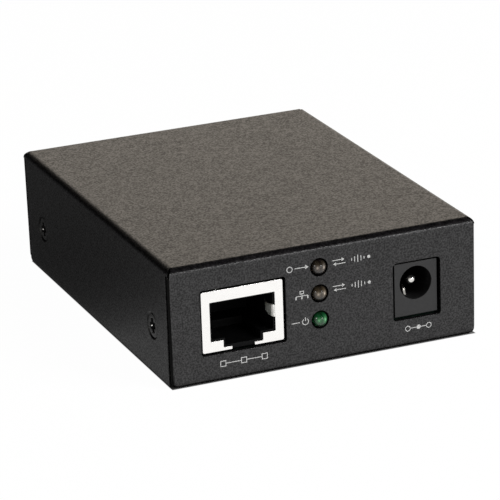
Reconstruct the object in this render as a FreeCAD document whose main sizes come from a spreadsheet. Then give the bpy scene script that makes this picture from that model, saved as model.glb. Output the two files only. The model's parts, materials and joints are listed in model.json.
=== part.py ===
# Small desktop fibre media converter: a folded steel case round one circuit board, with a copper
# network jack, three lamps and a power socket at the front and a fibre transceiver cage at the rear.
# Frame: origin at the centre of the case's underside, +Z up, the front panel faces -Y. Millimetres.

import FreeCAD, Part
import math
import os
import re

import Sketcher

# Every driving size: its name in the sheet, its value in millimetres (angles in degrees), its meaning.
SIZES = [
    # folded cover: top, two sides, front and rear in one sheet
    ("case_width", 60.0, "outer width of the cover"),
    ("case_depth", 77.4, "outer depth of the cover"),
    ("case_height", 22.5, "top of the cover above the underside"),
    ("cover_sheet", 0.8, "thickness of the cover sheet"),
    ("bend_inside", 0.5, "inner radius of the cover's bends"),
    ("cover_lift", 0.2, "free edges of the cover above the underside"),
    ("seam_inset", 0.1, "end panels' side edges inside the side walls' outer faces"),
    ("seam_gap", 0.4, "gap between an end panel and the side wall's edge"),
    ("mitre_gap", 0.3, "width of the relief slit across each bend corner"),
    ("flange_corner", 1.0, "corner radius at the free edges of the cover's walls"),
    # folded base: floor and four screw tabs
    ("base_sheet", 1.0, "thickness of the base sheet"),
    ("base_gap", 0.25, "gap between the base and the cover's walls"),
    ("tab_width", 9.0, "width of a screw tab"),
    ("tab_height", 13.5, "top of a screw tab above the underside"),
    ("tab_bend", 0.5, "inner radius of a tab's bend"),
    ("notch_width", 0.8, "width of the bend relief beside a tab"),
    ("notch_depth", 2.2, "depth of the bend relief beside a tab"),
    # countersunk screws through the cover's sides
    ("screw_level", 9.3, "cover screw axis above the underside"),
    ("screw_front", 8.7, "front cover screws behind the front panel"),
    ("screw_rear", 10.1, "rear cover screws ahead of the rear panel"),
    ("screw_head", 5.0, "diameter of a cover screw's head"),
    ("screw_thread", 3.0, "thread diameter of a cover screw"),
    ("screw_reach", 5.0, "overall length of a cover screw"),
    ("screw_sink", 0.05, "screw head below the cover's side face"),
    ("screw_fit", 0.05, "radial clearance round a screw"),
    ("drive_span", 2.7, "span of the cross recess"),
    ("drive_slot", 0.55, "width of the cross recess's arms"),
    ("drive_depth", 0.75, "depth of the cross recess"),
    # circuit board and its supports
    ("board_thickness", 1.6, "thickness of the circuit board"),
    ("board_end_gap", 0.7, "board edge to the end panels' inner faces"),
    ("board_side_gap", 0.45, "board edge to the screw tabs"),
    ("post_height", 2.9, "height of a standoff above the base sheet"),
    ("post_diameter", 5.5, "diameter of a standoff"),
    ("post_inset", 3.7, "standoffs in from the board's side edges"),
    ("post_front", 21.7, "front standoffs behind the front panel"),
    ("post_rear", 5.7, "rear standoffs ahead of the rear panel"),
    ("clinch_diameter", 4.2, "standoff's shank in the base sheet"),
    ("clinch_fit", 0.05, "clearance round and under a standoff's shank"),
    ("board_screw_thread", 3.0, "thread diameter of a board screw"),
    ("board_screw_head", 5.2, "head diameter of a board screw"),
    ("board_screw_crown", 1.6, "head height of a board screw"),
    ("board_screw_grip", 3.8, "shank length of a board screw"),
    # copper network jack
    ("jack_side", 14.13, "network jack's axis in from the cover's left face"),
    ("jack_width", 15.75, "outer width of the network jack's shield"),
    ("jack_height", 11.6, "height of the network jack above the board"),
    ("jack_depth", 15.6, "depth of the network jack"),
    ("jack_recess", 0.45, "network jack's face behind the front panel"),
    ("shield_sheet", 0.25, "thickness of the shield sheet"),
    ("shield_fit", 0.03, "gap between the shield and the jack body"),
    ("mouth_width", 12.5, "width of the opening in the shield"),
    ("mouth_height", 7.35, "height of the opening in the shield"),
    ("mouth_sill", 2.05, "opening's lower edge above the board"),
    ("latch_width", 7.6, "width of the latch notch in the shield"),
    ("latch_drop", 1.4, "depth of the latch notch below the opening"),
    ("latch_break", 4.3, "break in the shield's lower strip"),
    ("plug_width", 11.8, "width of the plug cavity"),
    ("plug_height", 6.75, "height of the plug cavity"),
    ("plug_depth", 13.0, "depth of the plug cavity behind the face"),
    ("keyway_width", 6.8, "width of the latch groove in the jack body"),
    ("keyway_floor", 0.95, "floor of the latch groove above the board"),
    ("keyway_depth", 9.0, "length of the latch groove behind the face"),
    ("finger_height", 2.2, "height of a shield spring finger"),
    ("finger_reach", 3.8, "length of a shield spring finger"),
    ("finger_bulge", 0.55, "how far a spring finger stands in from the opening's edge"),
    ("finger_room", 0.2, "clearance round a spring finger in the jack body"),
    ("contact_pitch", 1.02, "pitch of the network jack's contacts"),
    ("contact_width", 0.45, "width of a network jack contact"),
    ("contact_sheet", 0.35, "thickness of a network jack contact"),
    ("contact_root", 2.2, "contacts' fixed ends behind the jack's face"),
    ("contact_run", 7.5, "length of the contacts along the cavity"),
    ("contact_dip", 2.4, "drop of the contacts' free ends"),
    # panel clearances
    ("port_side_gap", 0.25, "panel cut-out beside the transceiver cage"),
    ("port_sill_gap", 0.3, "panel cut-outs below the board's top"),
    ("jack_side_gap", 0.35, "panel cut-out beside the network jack"),
    ("jack_head_gap", 0.5, "panel cut-out above the network jack"),
    ("power_side_gap", 0.5, "panel cut-out beside the power socket"),
    ("power_head_gap", 0.4, "panel cut-out above the power socket"),
    ("port_corner", 0.5, "corner radius of the network and transceiver cut-outs"),
    ("power_corner", 0.8, "upper corner radius of the power socket's cut-out"),
    # power socket
    ("power_side", 11.85, "power socket's axis in from the cover's right face"),
    ("power_width", 8.5, "width of the power socket"),
    ("power_height", 10.35, "top of the power socket's face above the board"),
    ("power_foot", 0.1, "lower edge of the power socket's face above the board"),
    ("power_depth", 14.2, "depth of the power socket"),
    ("power_recess", 0.55, "power socket's face behind the front panel"),
    ("power_face", 3.4, "thickness of the power socket's front block"),
    ("power_body", 8.9, "height of the power socket's rear body"),
    ("power_axis", 6.3, "power socket's bore above the board"),
    ("power_bore", 6.3, "bore diameter of the power socket"),
    ("power_reach", 9.6, "bore depth of the power socket"),
    ("pin_diameter", 2.0, "diameter of the centre pin"),
    ("pin_recess", 1.3, "pin tip behind the socket's face"),
    ("pin_tail", 1.0, "centre pin's tail behind the socket"),
    ("leaf_sheet", 0.3, "thickness of the side contact leaf"),
    ("leaf_height", 2.2, "height of the side contact leaf"),
    ("leaf_drop", 1.5, "leaf's middle below the bore's axis"),
    ("leaf_recess", 0.5, "leaf's front edge behind the socket's face"),
    ("leaf_inset", 1.4, "leaf's bump inside the bore's wall"),
    ("leaf_lip", 1.2, "length of the leaf's turned-out front lip"),
    # status lamps in a stacked holder
    ("lamp_offset", 1.05, "lamp column left of the middle"),
    ("lamp_level", 8.2, "lowest lamp's axis above the underside"),
    ("lamp_head", 4.3, "highest lamp's axis below the cover's top"),
    ("lamp_diameter", 3.0, "diameter of a lamp's lens"),
    ("lamp_hole_gap", 0.2, "panel hole's radial clearance round a lens"),
    ("lamp_proud", 0.9, "lens tip ahead of the front panel"),
    ("lamp_length", 5.3, "overall length of a lamp"),
    ("lamp_rim", 3.8, "diameter of a lamp's rim"),
    ("lamp_rim_depth", 1.0, "thickness of a lamp's rim"),
    ("lamp_fit", 0.05, "radial clearance of a lamp in its holder"),
    ("holder_gap", 0.3, "holder's face behind the panel's inner face"),
    ("holder_width", 5.0, "width of the lamp holder"),
    ("holder_depth", 6.0, "depth of the lamp holder"),
    ("holder_margin", 2.4, "holder above the top lamp's axis"),
    ("lead_side", 0.5, "side of a lamp lead's square section"),
    ("lead_spread", 2.54, "distance between a lamp's two leads"),
    ("lead_first", 1.2, "lowest lamp's leads behind the holder"),
    ("lead_step", 1.6, "step back of the leads from lamp to lamp"),
    # fibre transceiver cage
    ("cage_gap", 0.75, "transceiver cage beside the line transformer's leads"),
    ("cage_width", 14.5, "outer width of the transceiver cage"),
    ("cage_height", 9.6, "height of the transceiver cage above the board"),
    ("cage_depth", 47.0, "depth of the transceiver cage"),
    ("cage_sheet", 0.35, "thickness of the cage sheet"),
    ("cage_recess", 0.45, "cage's mouth behind the rear panel"),
    ("cage_window", 11.0, "length of the floor opening for the edge connector"),
    ("edge_width", 12.4, "width of the edge connector"),
    ("edge_height", 5.4, "height of the edge connector"),
    ("edge_depth", 9.0, "depth of the edge connector"),
    ("edge_back_gap", 0.8, "edge connector to the cage's end wall"),
    ("edge_slot_width", 9.4, "width of the card slot"),
    ("edge_slot_height", 1.5, "height of the card slot"),
    ("edge_slot_depth", 6.5, "depth of the card slot"),
    ("edge_slot_level", 3.4, "card slot's middle above the board"),
    ("edge_pitch", 0.8, "pitch of the edge connector's contacts"),
    ("edge_pin", 0.35, "width of an edge connector's contact"),
    ("edge_pin_sheet", 0.2, "thickness of an edge connector's contact"),
    # parts on the board
    ("transformer_width", 8.6, "width of the line transformer"),
    ("transformer_depth", 15.2, "depth of the line transformer"),
    ("transformer_height", 5.2, "height of the line transformer"),
    ("transformer_gap", 1.0, "line transformer behind the left front standoff"),
    ("transformer_edge", 0.9, "line transformer's leads in from the board's edge"),
    ("gull_count", 8, "leads on each long side of the line transformer"),
    ("gull_pitch", 1.6, "pitch of the line transformer's leads"),
    ("gull_width", 0.5, "width of a lead"),
    ("gull_reach", 1.0, "reach of a lead beyond its package"),
    ("gull_sheet", 0.2, "thickness of a lead"),
    ("chip_side", 12.0, "side of the converter chip"),
    ("chip_height", 1.4, "height of the converter chip"),
    ("chip_x", 12.5, "converter chip right of the middle"),
    ("chip_y", 2.0, "converter chip ahead of the middle"),
    ("chip_lead_count", 12, "leads on each side of the converter chip"),
    ("chip_lead_pitch", 0.8, "pitch of the converter chip's leads"),
    ("memory_side", 9.0, "memory chip in from the cover's right face"),
    ("memory_y", 11.0, "memory chip behind the middle"),
    ("memory_width", 4.9, "width of the memory chip"),
    ("memory_depth", 3.9, "depth of the memory chip"),
    ("memory_height", 1.5, "height of the memory chip"),
    ("memory_pitch", 1.27, "pitch of the memory chip's leads"),
    ("regulator_side", 14.0, "regulator in from the cover's right face"),
    ("regulator_width", 6.5, "width of the regulator"),
    ("regulator_depth", 3.5, "depth of the regulator"),
    ("regulator_height", 1.7, "height of the regulator"),
    ("choke_gap", 1.75, "power inductor beside the regulator"),
    ("choke_side", 7.0, "side of the power inductor"),
    ("choke_height", 4.0, "height of the power inductor"),
    ("can_x", 8.5, "electrolytic capacitors right of the middle"),
    ("can_rear", 15.7, "rear electrolytic capacitor ahead of the rear panel"),
    ("can_pitch", 9.0, "pitch of the electrolytic capacitors"),
    ("can_diameter", 6.3, "diameter of an electrolytic capacitor"),
    ("can_height", 7.7, "height of an electrolytic capacitor"),
    ("can_base", 6.6, "side of an electrolytic capacitor's plastic base"),
    ("can_base_height", 1.0, "height of an electrolytic capacitor's base"),
    ("crystal_side", 10.5, "clock crystal in from the cover's right face"),
    ("crystal_y", 18.0, "clock crystal behind the middle"),
    ("crystal_width", 5.0, "width of the clock crystal"),
    ("crystal_depth", 3.2, "depth of the clock crystal"),
    ("crystal_height", 1.1, "height of the clock crystal"),
    ("chip_part_length", 1.6, "length of a small chip part"),
    ("chip_part_width", 0.8, "width of a small chip part"),
    ("chip_part_height", 0.7, "height of a small chip part"),
    ("chip_part_pitch", 2.2, "pitch of the rows of small chip parts"),
    ("resistor_count", 6, "chip resistors in their row"),
    ("capacitor_count", 7, "chip capacitors in their row"),
    ("resistor_row_x", 3.2, "row of chip resistors right of the middle"),
    ("resistor_row_y", 7.0, "first chip resistor ahead of the middle"),
    ("capacitor_row_side", 5.5, "row of chip capacitors in from the cover's right face"),
    ("capacitor_row_y", 9.0, "first chip capacitor ahead of the middle"),
]

# Sizes that follow from the driving ones, as expressions.
HALF_W = "case_width / 2"
HALF_D = "case_depth / 2"
BEND = "(bend_inside + cover_sheet)"
BASE_HALF_W = "(case_width / 2 - cover_sheet - base_gap)"
BASE_HALF_D = "(case_depth / 2 - cover_sheet - base_gap)"
BOARD_HALF_W = f"({BASE_HALF_W} - base_sheet - board_side_gap)"
POST_X = f"({BOARD_HALF_W} - post_inset)"
JACK_AXIS = "(jack_side - case_width / 2)"
POWER_AXIS = "(case_width / 2 - power_side)"
LAMP_PITCH = "((case_height - lamp_head - lamp_level) / 2)"
TRANSFORMER_AXIS = f"(transformer_edge + gull_reach + transformer_width / 2 - {BOARD_HALF_W})"
CAGE_AXIS = f"({TRANSFORMER_AXIS} + transformer_width / 2 + gull_reach + cage_gap + cage_width / 2)"
REGULATOR_AXIS = "(case_width / 2 - regulator_side)"
CHOKE_AXIS = f"({REGULATOR_AXIS} - regulator_width / 2 - choke_gap - choke_side / 2)"
TAB_FRONT_Y = "(screw_front - case_depth / 2)"
TAB_REAR_Y = "(case_depth / 2 - screw_rear)"
POST_FRONT_Y = "(post_front - case_depth / 2)"
POST_REAR_Y = "(case_depth / 2 - post_rear)"
BOARD_UNDER = "(base_sheet + post_height)"
BOARD_TOP = "(base_sheet + post_height + board_thickness)"
JACK_FACE = "(jack_recess - case_depth / 2)"
POWER_FACE = "(power_recess - case_depth / 2)"
POWER_LEVEL = f"({BOARD_TOP} + power_axis)"
HOLDER_FACE = "(cover_sheet + holder_gap - case_depth / 2)"
CAGE_MOUTH = "(case_depth / 2 - cage_recess)"
CAGE_END = f"({CAGE_MOUTH} - cage_depth)"

SHEET = "Sizes"
NAMES = re.compile(r"\b(" + "|".join(alias for alias, _, _ in SIZES) + r")\b")

doc = FreeCAD.newDocument("media_converter")
nodes = []


# ---------------------------------------------------------------- sheet and binding

def fill_sheet():
    """Write the driving sizes into the spreadsheet, one aliased plain number to a row."""
    sheet = doc.addObject("Spreadsheet::Sheet", SHEET)
    for row, (alias, value, meaning) in enumerate(SIZES, start=1):
        sheet.set(f"A{row}", meaning)
        sheet.set(f"B{row}", str(value))
        sheet.setAlias(f"B{row}", alias)
    doc.recompute()
    return sheet


def bind(thing, prop, text):
    """Bind a property to an expression written with the sheet's names."""
    thing.setExpression(prop, NAMES.sub(SHEET + r".\1", text))


def count(alias):
    """A whole number from the sheet, for the copies in a row."""
    return int(round(float(sheet.get(alias))))


def place(thing, x="0", y="0", z="0"):
    """Bind the base of an object's placement."""
    for axis, text in zip("xyz", (x, y, z)):
        bind(thing, f"Placement.Base.{axis}", text)
    return thing


def node(thing, name):
    """Give a finished sub-part its label, which names its file."""
    thing.Label = name
    nodes.append(thing)
    return thing


# ---------------------------------------------------------------- Part primitives

def box(name, size, corner):
    """A box from its three lengths and its low corner."""
    solid = doc.addObject("Part::Box", name)
    for prop, text in zip(("Length", "Width", "Height"), size):
        bind(solid, prop, text)
    return place(solid, *corner)


def centred_box(name, size, centre, low):
    """A box centred in X and Y that stands on the level low."""
    x, y = centre
    return box(name, size, (f"{x} - ({size[0]}) / 2", f"{y} - ({size[1]}) / 2", low))


TURNS = {
    "+X": FreeCAD.Rotation(FreeCAD.Vector(0, 1, 0), 90),
    "-X": FreeCAD.Rotation(FreeCAD.Vector(0, 1, 0), -90),
    "+Y": FreeCAD.Rotation(FreeCAD.Vector(1, 0, 0), -90),
    "+Z": FreeCAD.Rotation(),
}


def cylinder(name, radius, length, base, along="+Z"):
    """A cylinder from the centre of its first end, along an axis."""
    solid = doc.addObject("Part::Cylinder", name)
    bind(solid, "Radius", radius)
    bind(solid, "Height", length)
    solid.Placement.Rotation = TURNS[along]
    return place(solid, *base)


def cone(name, first, second, length, base, along="+Z"):
    """A cone frustum from its two radii, along an axis."""
    solid = doc.addObject("Part::Cone", name)
    bind(solid, "Radius1", first)
    bind(solid, "Radius2", second)
    bind(solid, "Height", length)
    solid.Placement.Rotation = TURNS[along]
    return place(solid, *base)


def ball(name, radius, centre):
    """A sphere."""
    solid = doc.addObject("Part::Sphere", name)
    bind(solid, "Radius", radius)
    return place(solid, *centre)


def fused(name, pieces):
    """One solid from overlapping or touching pieces."""
    joined = doc.addObject("Part::MultiFuse", name)
    joined.Shapes = pieces
    joined.Refine = True
    return joined


def cut(name, base, tool):
    """The base less the tool."""
    result = doc.addObject("Part::Cut", name)
    result.Base = base
    result.Tool = tool
    result.Refine = True
    return result


def group(name, pieces):
    """Separate solids that share one node."""
    together = doc.addObject("Part::Compound", name)
    together.Links = pieces
    return together


# ---------------------------------------------------------------- PartDesign helpers

def new_body(name):
    """An empty PartDesign body."""
    return doc.addObject("PartDesign::Body", name)


def outline(body, name, plane, level="0", loops=(), circles=()):
    """A sketch on an origin plane. Each loop is a polygon of (x, y) expressions and each circle is
    (x, y, radius). Level moves the sketch along the plane's normal."""
    sketch = body.newObject("Sketcher::SketchObject", name)
    origin_plane = next(item for item in body.Origin.OriginFeatures if item.Role == plane)
    sketch.AttachmentSupport = (origin_plane, [""])
    sketch.MapMode = "FlatFace"
    bind(sketch, "AttachmentOffset.Base.z", level)
    for loop in loops:
        draw_polygon(sketch, loop)
    for circle in circles:
        draw_circle(sketch, circle)
    return sketch


def pin_point(sketch, curve, end, x, y):
    """Tie a point of a sketch to its distances from the origin."""
    for kind, text in (("DistanceX", x), ("DistanceY", y)):
        index = sketch.addConstraint(Sketcher.Constraint(kind, -1, 1, curve, end, 1.0))
        bind(sketch, f"Constraints[{index}]", text)


def draw_polygon(sketch, points):
    """A closed polygon whose corners are expressions."""
    first = sketch.GeometryCount
    total = len(points)
    for i in range(total):
        turn = 2 * math.pi * i / total
        step = 2 * math.pi * (i + 1) / total
        start = FreeCAD.Vector(math.cos(turn), math.sin(turn), 0)
        stop = FreeCAD.Vector(math.cos(step), math.sin(step), 0)
        sketch.addGeometry(Part.LineSegment(start, stop), False)
    for i in range(total):
        sketch.addConstraint(Sketcher.Constraint("Coincident", first + i, 2, first + (i + 1) % total, 1))
    for i, (x, y) in enumerate(points):
        pin_point(sketch, first + i, 1, x, y)


def draw_circle(sketch, circle):
    """A circle from the expressions of its centre and radius."""
    x, y, radius = circle
    index = sketch.addGeometry(Part.Circle(FreeCAD.Vector(), FreeCAD.Vector(0, 0, 1), 1.0), False)
    pin_point(sketch, index, 3, x, y)
    size = sketch.addConstraint(Sketcher.Constraint("Radius", index, 1.0))
    bind(sketch, f"Constraints[{size}]", radius)


def rectangle(x, y, width, height):
    """The corners of a rectangle round a middle point."""
    left = f"({x}) - ({width}) / 2"
    right = f"({x}) + ({width}) / 2"
    low = f"({y}) - ({height}) / 2"
    high = f"({y}) + ({height}) / 2"
    return [(left, low), (right, low), (right, high), (left, high)]


def span(left, right, low, high):
    """The corners of a rectangle between four expressions."""
    return [(left, low), (right, low), (right, high), (left, high)]


def pad(body, sketch, length, midplane=False, reverse=False):
    """Extrude a sketch."""
    feature = body.newObject("PartDesign::Pad", sketch.Name + "Pad")
    feature.Profile = sketch
    bind(feature, "Length", length)
    feature.Midplane = midplane
    feature.Reversed = reverse
    body.Tip = feature
    doc.recompute()
    return feature


def pocket(body, sketch, length, midplane=False, reverse=False):
    """Cut a sketch out of the body, and make sure that it removed something."""
    before = body.Shape.Volume
    feature = body.newObject("PartDesign::Pocket", sketch.Name + "Pocket")
    feature.Profile = sketch
    bind(feature, "Length", length)
    feature.Midplane = midplane
    feature.Reversed = reverse
    body.Tip = feature
    doc.recompute()
    if not body.Shape.Volume < before:
        raise RuntimeError(f"{feature.Name} cut nothing")
    return feature


def rounded(body, name, radius, wanted):
    """Fillet the edges of the body that wanted accepts."""
    base = body.Tip
    feature = body.newObject("PartDesign::Fillet", name)
    edges = [f"Edge{i}" for i, edge in enumerate(base.Shape.Edges, start=1) if wanted(edge)]
    feature.Base = (base, edges)
    bind(feature, "Radius", radius)
    body.Tip = feature
    doc.recompute()
    return feature


def runs_along(edge, axis):
    """True for a straight edge parallel to the X, Y or Z axis."""
    if not isinstance(edge.Curve, Part.Line):
        return False
    direction = edge.Curve.Direction
    return abs(abs(getattr(direction, axis)) - 1.0) < 1e-6


def near(value, target):
    """True for two lengths that agree to a hundredth of a millimetre."""
    return abs(value - target) < 0.01


def ends(edge):
    """The end points of an edge."""
    return [vertex.Point for vertex in edge.Vertexes]


def level_line(edge, height):
    """True for an edge that lies wholly at one height."""
    return all(near(point.z, height) for point in ends(edge))


def middle(edge):
    """The middle of a straight edge."""
    first, last = ends(edge)
    return (first + last) * 0.5


def size(alias):
    """The present value of a driving size."""
    return float(sheet.get(alias))


def prism(name, plane, level, points, length, midplane=False):
    """A straight prism with a polygon section, as a body of its own."""
    body = new_body(name)
    pad(body, outline(body, name + "Section", plane, level, [points]), length, midplane)
    return body


# ---------------------------------------------------------------- folded case

def make_cover():
    """Top and four walls folded from one sheet, with slit corners, cut-outs and screw holes."""
    body = new_body("TopCover")
    block = outline(body, "CoverBlock", "XY_Plane", "cover_lift",
                    [rectangle("0", "0", "case_width", "case_depth")])
    pad(body, block, "case_height - cover_lift")
    rounded(body, "CoverBends", BEND, lambda edge: level_line(edge, size("case_height")))
    hollow = outline(body, "CoverHollow", "XY_Plane", "cover_lift",
                     [rectangle("0", "0", "case_width - 2 * cover_sheet", "case_depth - 2 * cover_sheet")])
    pocket(body, hollow, "case_height - cover_lift - cover_sheet", reverse=True)
    ceiling = size("case_height") - size("cover_sheet")
    rounded(body, "CoverInnerBends", "bend_inside", lambda edge: level_line(edge, ceiling))
    cut_seams(body)
    cut_front_ports(body)
    cut_rear_port(body)
    round_free_corners(body)
    sink_screw_holes(body)
    return node(body, "top_cover")


def cut_seams(body):
    """Part the end panels from the side walls at the four corners, with a slit across each bend."""
    seams = []
    slits = []
    half_slit = "mitre_gap / (2 * sqrt(2))"
    for x in ("-1", "1"):
        for y in ("-1", "1"):
            def at(inward_x, inward_y, x=x, y=y):
                return (f"{x} * ({HALF_W} - ({inward_x}))", f"{y} * ({HALF_D} - ({inward_y}))")
            seams.append([at("-seam_gap", "-seam_gap"), at("seam_inset", "-seam_gap"),
                          at("seam_inset", "cover_sheet"), at("cover_sheet + seam_gap", "cover_sheet"),
                          at("cover_sheet + seam_gap", "cover_sheet + seam_gap"),
                          at("-seam_gap", "cover_sheet + seam_gap")])
            slits.append([at(f"-seam_gap + {half_slit}", f"-seam_gap - {half_slit}"),
                          at(f"{BEND} + {half_slit}", f"{BEND} - {half_slit}"),
                          at(f"{BEND} - {half_slit}", f"{BEND} + {half_slit}"),
                          at(f"-seam_gap - {half_slit}", f"-seam_gap + {half_slit}")])
    seam = outline(body, "CornerSeams", "XY_Plane", "cover_lift", seams)
    pocket(body, seam, f"case_height - cover_lift - {BEND}", reverse=True)
    slit = outline(body, "CornerSlits", "XY_Plane", f"case_height - {BEND} - mitre_gap", slits)
    pocket(body, slit, f"{BEND} + 2 * mitre_gap", reverse=True)


def cut_front_ports(body):
    """Cut-outs for the network jack, the power socket and the lamps."""
    jack = span(f"{JACK_AXIS} - jack_width / 2 - jack_side_gap",
                f"{JACK_AXIS} + jack_width / 2 + jack_side_gap",
                f"{BOARD_TOP} - port_sill_gap", f"{BOARD_TOP} + jack_height + jack_head_gap")
    power = span(f"{POWER_AXIS} - power_width / 2 - power_side_gap",
                 f"{POWER_AXIS} + power_width / 2 + power_side_gap",
                 f"{BOARD_TOP} - port_sill_gap", f"{BOARD_TOP} + power_height + power_head_gap")
    lamps = [("-lamp_offset", lamp_height(i), "lamp_diameter / 2 + lamp_hole_gap")
             for i in range(len(LAMP_NAMES))]
    ports = outline(body, "FrontPorts", "XZ_Plane", HALF_D, [jack, power], lamps)
    pocket(body, ports, "cover_sheet + seam_gap")
    front = size("cover_sheet") / 2 - size("case_depth") / 2
    board_top = size("base_sheet") + size("post_height") + size("board_thickness")
    jack_axis = size("jack_side") - size("case_width") / 2
    power_axis = size("case_width") / 2 - size("power_side")
    half_jack = size("jack_width") / 2 + size("jack_side_gap")
    half_power = size("power_width") / 2 + size("power_side_gap")

    def port_edge(edge):
        return runs_along(edge, "y") and near(middle(edge).y, front)

    def jack_corner(edge):
        return port_edge(edge) and near(abs(middle(edge).x - jack_axis), half_jack)

    def power_corner(edge, upper):
        beside = near(abs(middle(edge).x - power_axis), half_power)
        high = middle(edge).z > board_top + size("power_height") / 2
        return beside and high == upper

    rounded(body, "JackPortCorners", "port_corner", jack_corner)
    rounded(body, "PowerPortFeet", "port_corner", lambda e: port_edge(e) and power_corner(e, False))
    rounded(body, "PowerPortShoulders", "power_corner", lambda e: port_edge(e) and power_corner(e, True))


def cut_rear_port(body):
    """Cut-out for the transceiver cage's mouth."""
    cage = span(f"{CAGE_AXIS} - cage_width / 2 - port_side_gap",
                f"{CAGE_AXIS} + cage_width / 2 + port_side_gap",
                f"{BOARD_TOP} - port_sill_gap", f"{BOARD_TOP} + cage_height + port_side_gap")
    port = outline(body, "RearPort", "XZ_Plane", f"-{HALF_D}", [cage])
    pocket(body, port, "cover_sheet + seam_gap", reverse=True)
    rear = size("case_depth") / 2 - size("cover_sheet") / 2
    side_walls = size("case_width") / 2 - size("cover_sheet") - size("seam_gap")

    def cage_corner(edge):
        return runs_along(edge, "y") and near(middle(edge).y, rear) and abs(middle(edge).x) < side_walls

    rounded(body, "RearPortCorners", "port_corner", cage_corner)


def round_free_corners(body):
    """Round the lower corners of the end panels, and of the side walls at the rear."""
    low = size("cover_lift")
    panel_side = size("case_width") / 2 - size("seam_inset")
    wall_end = size("case_depth") / 2 - size("cover_sheet") - size("seam_gap")

    def wanted(edge):
        if not level_line(edge, low):
            return False
        if runs_along(edge, "y"):
            return near(abs(middle(edge).x), panel_side)
        return runs_along(edge, "x") and near(middle(edge).y, wall_end)

    rounded(body, "FreeCorners", "flange_corner", wanted)


def sink_screw_holes(body):
    """Countersunk holes for the four cover screws."""
    rim = "(screw_head / 2 + screw_sink + screw_fit)"
    for label, along in (("Front", TAB_FRONT_Y), ("Rear", TAB_REAR_Y)):
        cones = []
        for x in ("-1", "1"):
            outside = f"{x} * ({HALF_W} + screw_fit)"
            inside = f"{x} * ({HALF_W} - cover_sheet - screw_fit)"
            cones.append([(outside, "0"), (outside, f"{rim} + screw_fit"),
                          (inside, f"{rim} - cover_sheet - screw_fit"), (inside, "0")])
        sketch = outline(body, label + "Countersinks", "XY_Plane", "screw_level", cones)
        bind(sketch, "AttachmentOffset.Base.y", along)
        before = body.Shape.Volume
        groove = body.newObject("PartDesign::Groove", label + "CountersinkCut")
        groove.Profile = sketch
        groove.ReferenceAxis = (sketch, ["H_Axis"])
        groove.Angle = 360
        body.Tip = groove
        doc.recompute()
        if not body.Shape.Volume < before:
            raise RuntimeError(f"{groove.Name} cut nothing")


def make_base():
    """Floor with four tabs folded up inside the cover's sides."""
    body = new_body("BaseTray")
    floor = outline(body, "Floor", "XY_Plane", "0",
                    [rectangle("0", "0", f"2 * {BASE_HALF_W}", f"2 * {BASE_HALF_D}")])
    pad(body, floor, "base_sheet")
    tabs = []
    notches = []
    for x in ("-1", "1"):
        edge = f"{x} * {BASE_HALF_W}"
        for along in (TAB_FRONT_Y, TAB_REAR_Y):
            centre = f"{x} * ({BASE_HALF_W} - base_sheet / 2)"
            tabs.append(rectangle(centre, along, "base_sheet", "tab_width"))
            for y in ("-1", "1"):
                beside = f"{along} + {y} * (tab_width + notch_width) / 2"
                notches.append(rectangle(edge, beside, "2 * notch_depth", "notch_width"))
    pocket(body, outline(body, "BendNotches", "XY_Plane", "0", notches), "base_sheet", reverse=True)
    pad(body, outline(body, "Tabs", "XY_Plane", "0", tabs), "tab_height")
    outer = size("case_width") / 2 - size("cover_sheet") - size("base_gap")
    inner = outer - size("base_sheet")

    def tab_edge(edge, level, side):
        if not (runs_along(edge, "y") and level_line(edge, level)):
            return False
        return near(edge.Length, size("tab_width")) and near(abs(middle(edge).x), side)

    rounded(body, "TabBendsOutside", "tab_bend + base_sheet", lambda edge: tab_edge(edge, 0, outer))
    rounded(body, "TabBendsInside", "tab_bend", lambda edge: tab_edge(edge, size("base_sheet"), inner))
    rounded(body, "TabCorners", "flange_corner",
            lambda edge: runs_along(edge, "x") and level_line(edge, size("tab_height")))
    holes = [(along, "screw_level", "screw_thread / 2 + screw_fit") for along in (TAB_FRONT_Y, TAB_REAR_Y)]
    pocket(body, outline(body, "TabHoles", "YZ_Plane", "0", circles=holes), "case_width", midplane=True)
    clinches = [(x, y, "clinch_diameter / 2 + clinch_fit") for x, y in post_places()]
    pocket(body, outline(body, "ClinchHoles", "XY_Plane", "0", circles=clinches), "base_sheet", reverse=True)
    return node(body, "base_tray")


def post_places():
    """The four standoff axes."""
    return [(f"{x} * {POST_X}", y) for x in ("-1", "1") for y in (POST_FRONT_Y, POST_REAR_Y)]


def make_cover_screws():
    """Four countersunk cross-head screws, two to a side."""
    screws = []
    for side, turn, x in (("Left", "+X", "-1"), ("Right", "-X", "1")):
        face = f"{x} * ({HALF_W} - screw_sink)"
        for end, y in (("Front", TAB_FRONT_Y), ("Rear", TAB_REAR_Y)):
            name = f"CoverScrew{side}{end}"
            head = cone(name + "Head", "screw_head / 2", "screw_thread / 2",
                        "(screw_head - screw_thread) / 2", (face, y, "screw_level"), turn)
            shank = cylinder(name + "Shank", "screw_thread / 2", "screw_reach",
                             (face, y, "screw_level"), turn)
            middle_x = f"{x} * ({HALF_W} - screw_sink - drive_depth / 2)"
            arms = []
            for arm, wide, tall in (("Flat", "drive_span", "drive_slot"),
                                    ("Tall", "drive_slot", "drive_span")):
                arms.append(box(name + arm + "Arm", ("drive_depth", wide, tall),
                                (f"{middle_x} - drive_depth / 2", f"{y} - ({wide}) / 2",
                                 f"screw_level - ({tall}) / 2")))
            blank = fused(name + "Blank", [head, shank])
            screws.append(cut(name, blank, fused(name + "Recess", arms)))
    return node(group("CoverScrews", screws), "cover_screws")


# ---------------------------------------------------------------- board and its supports

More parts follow.
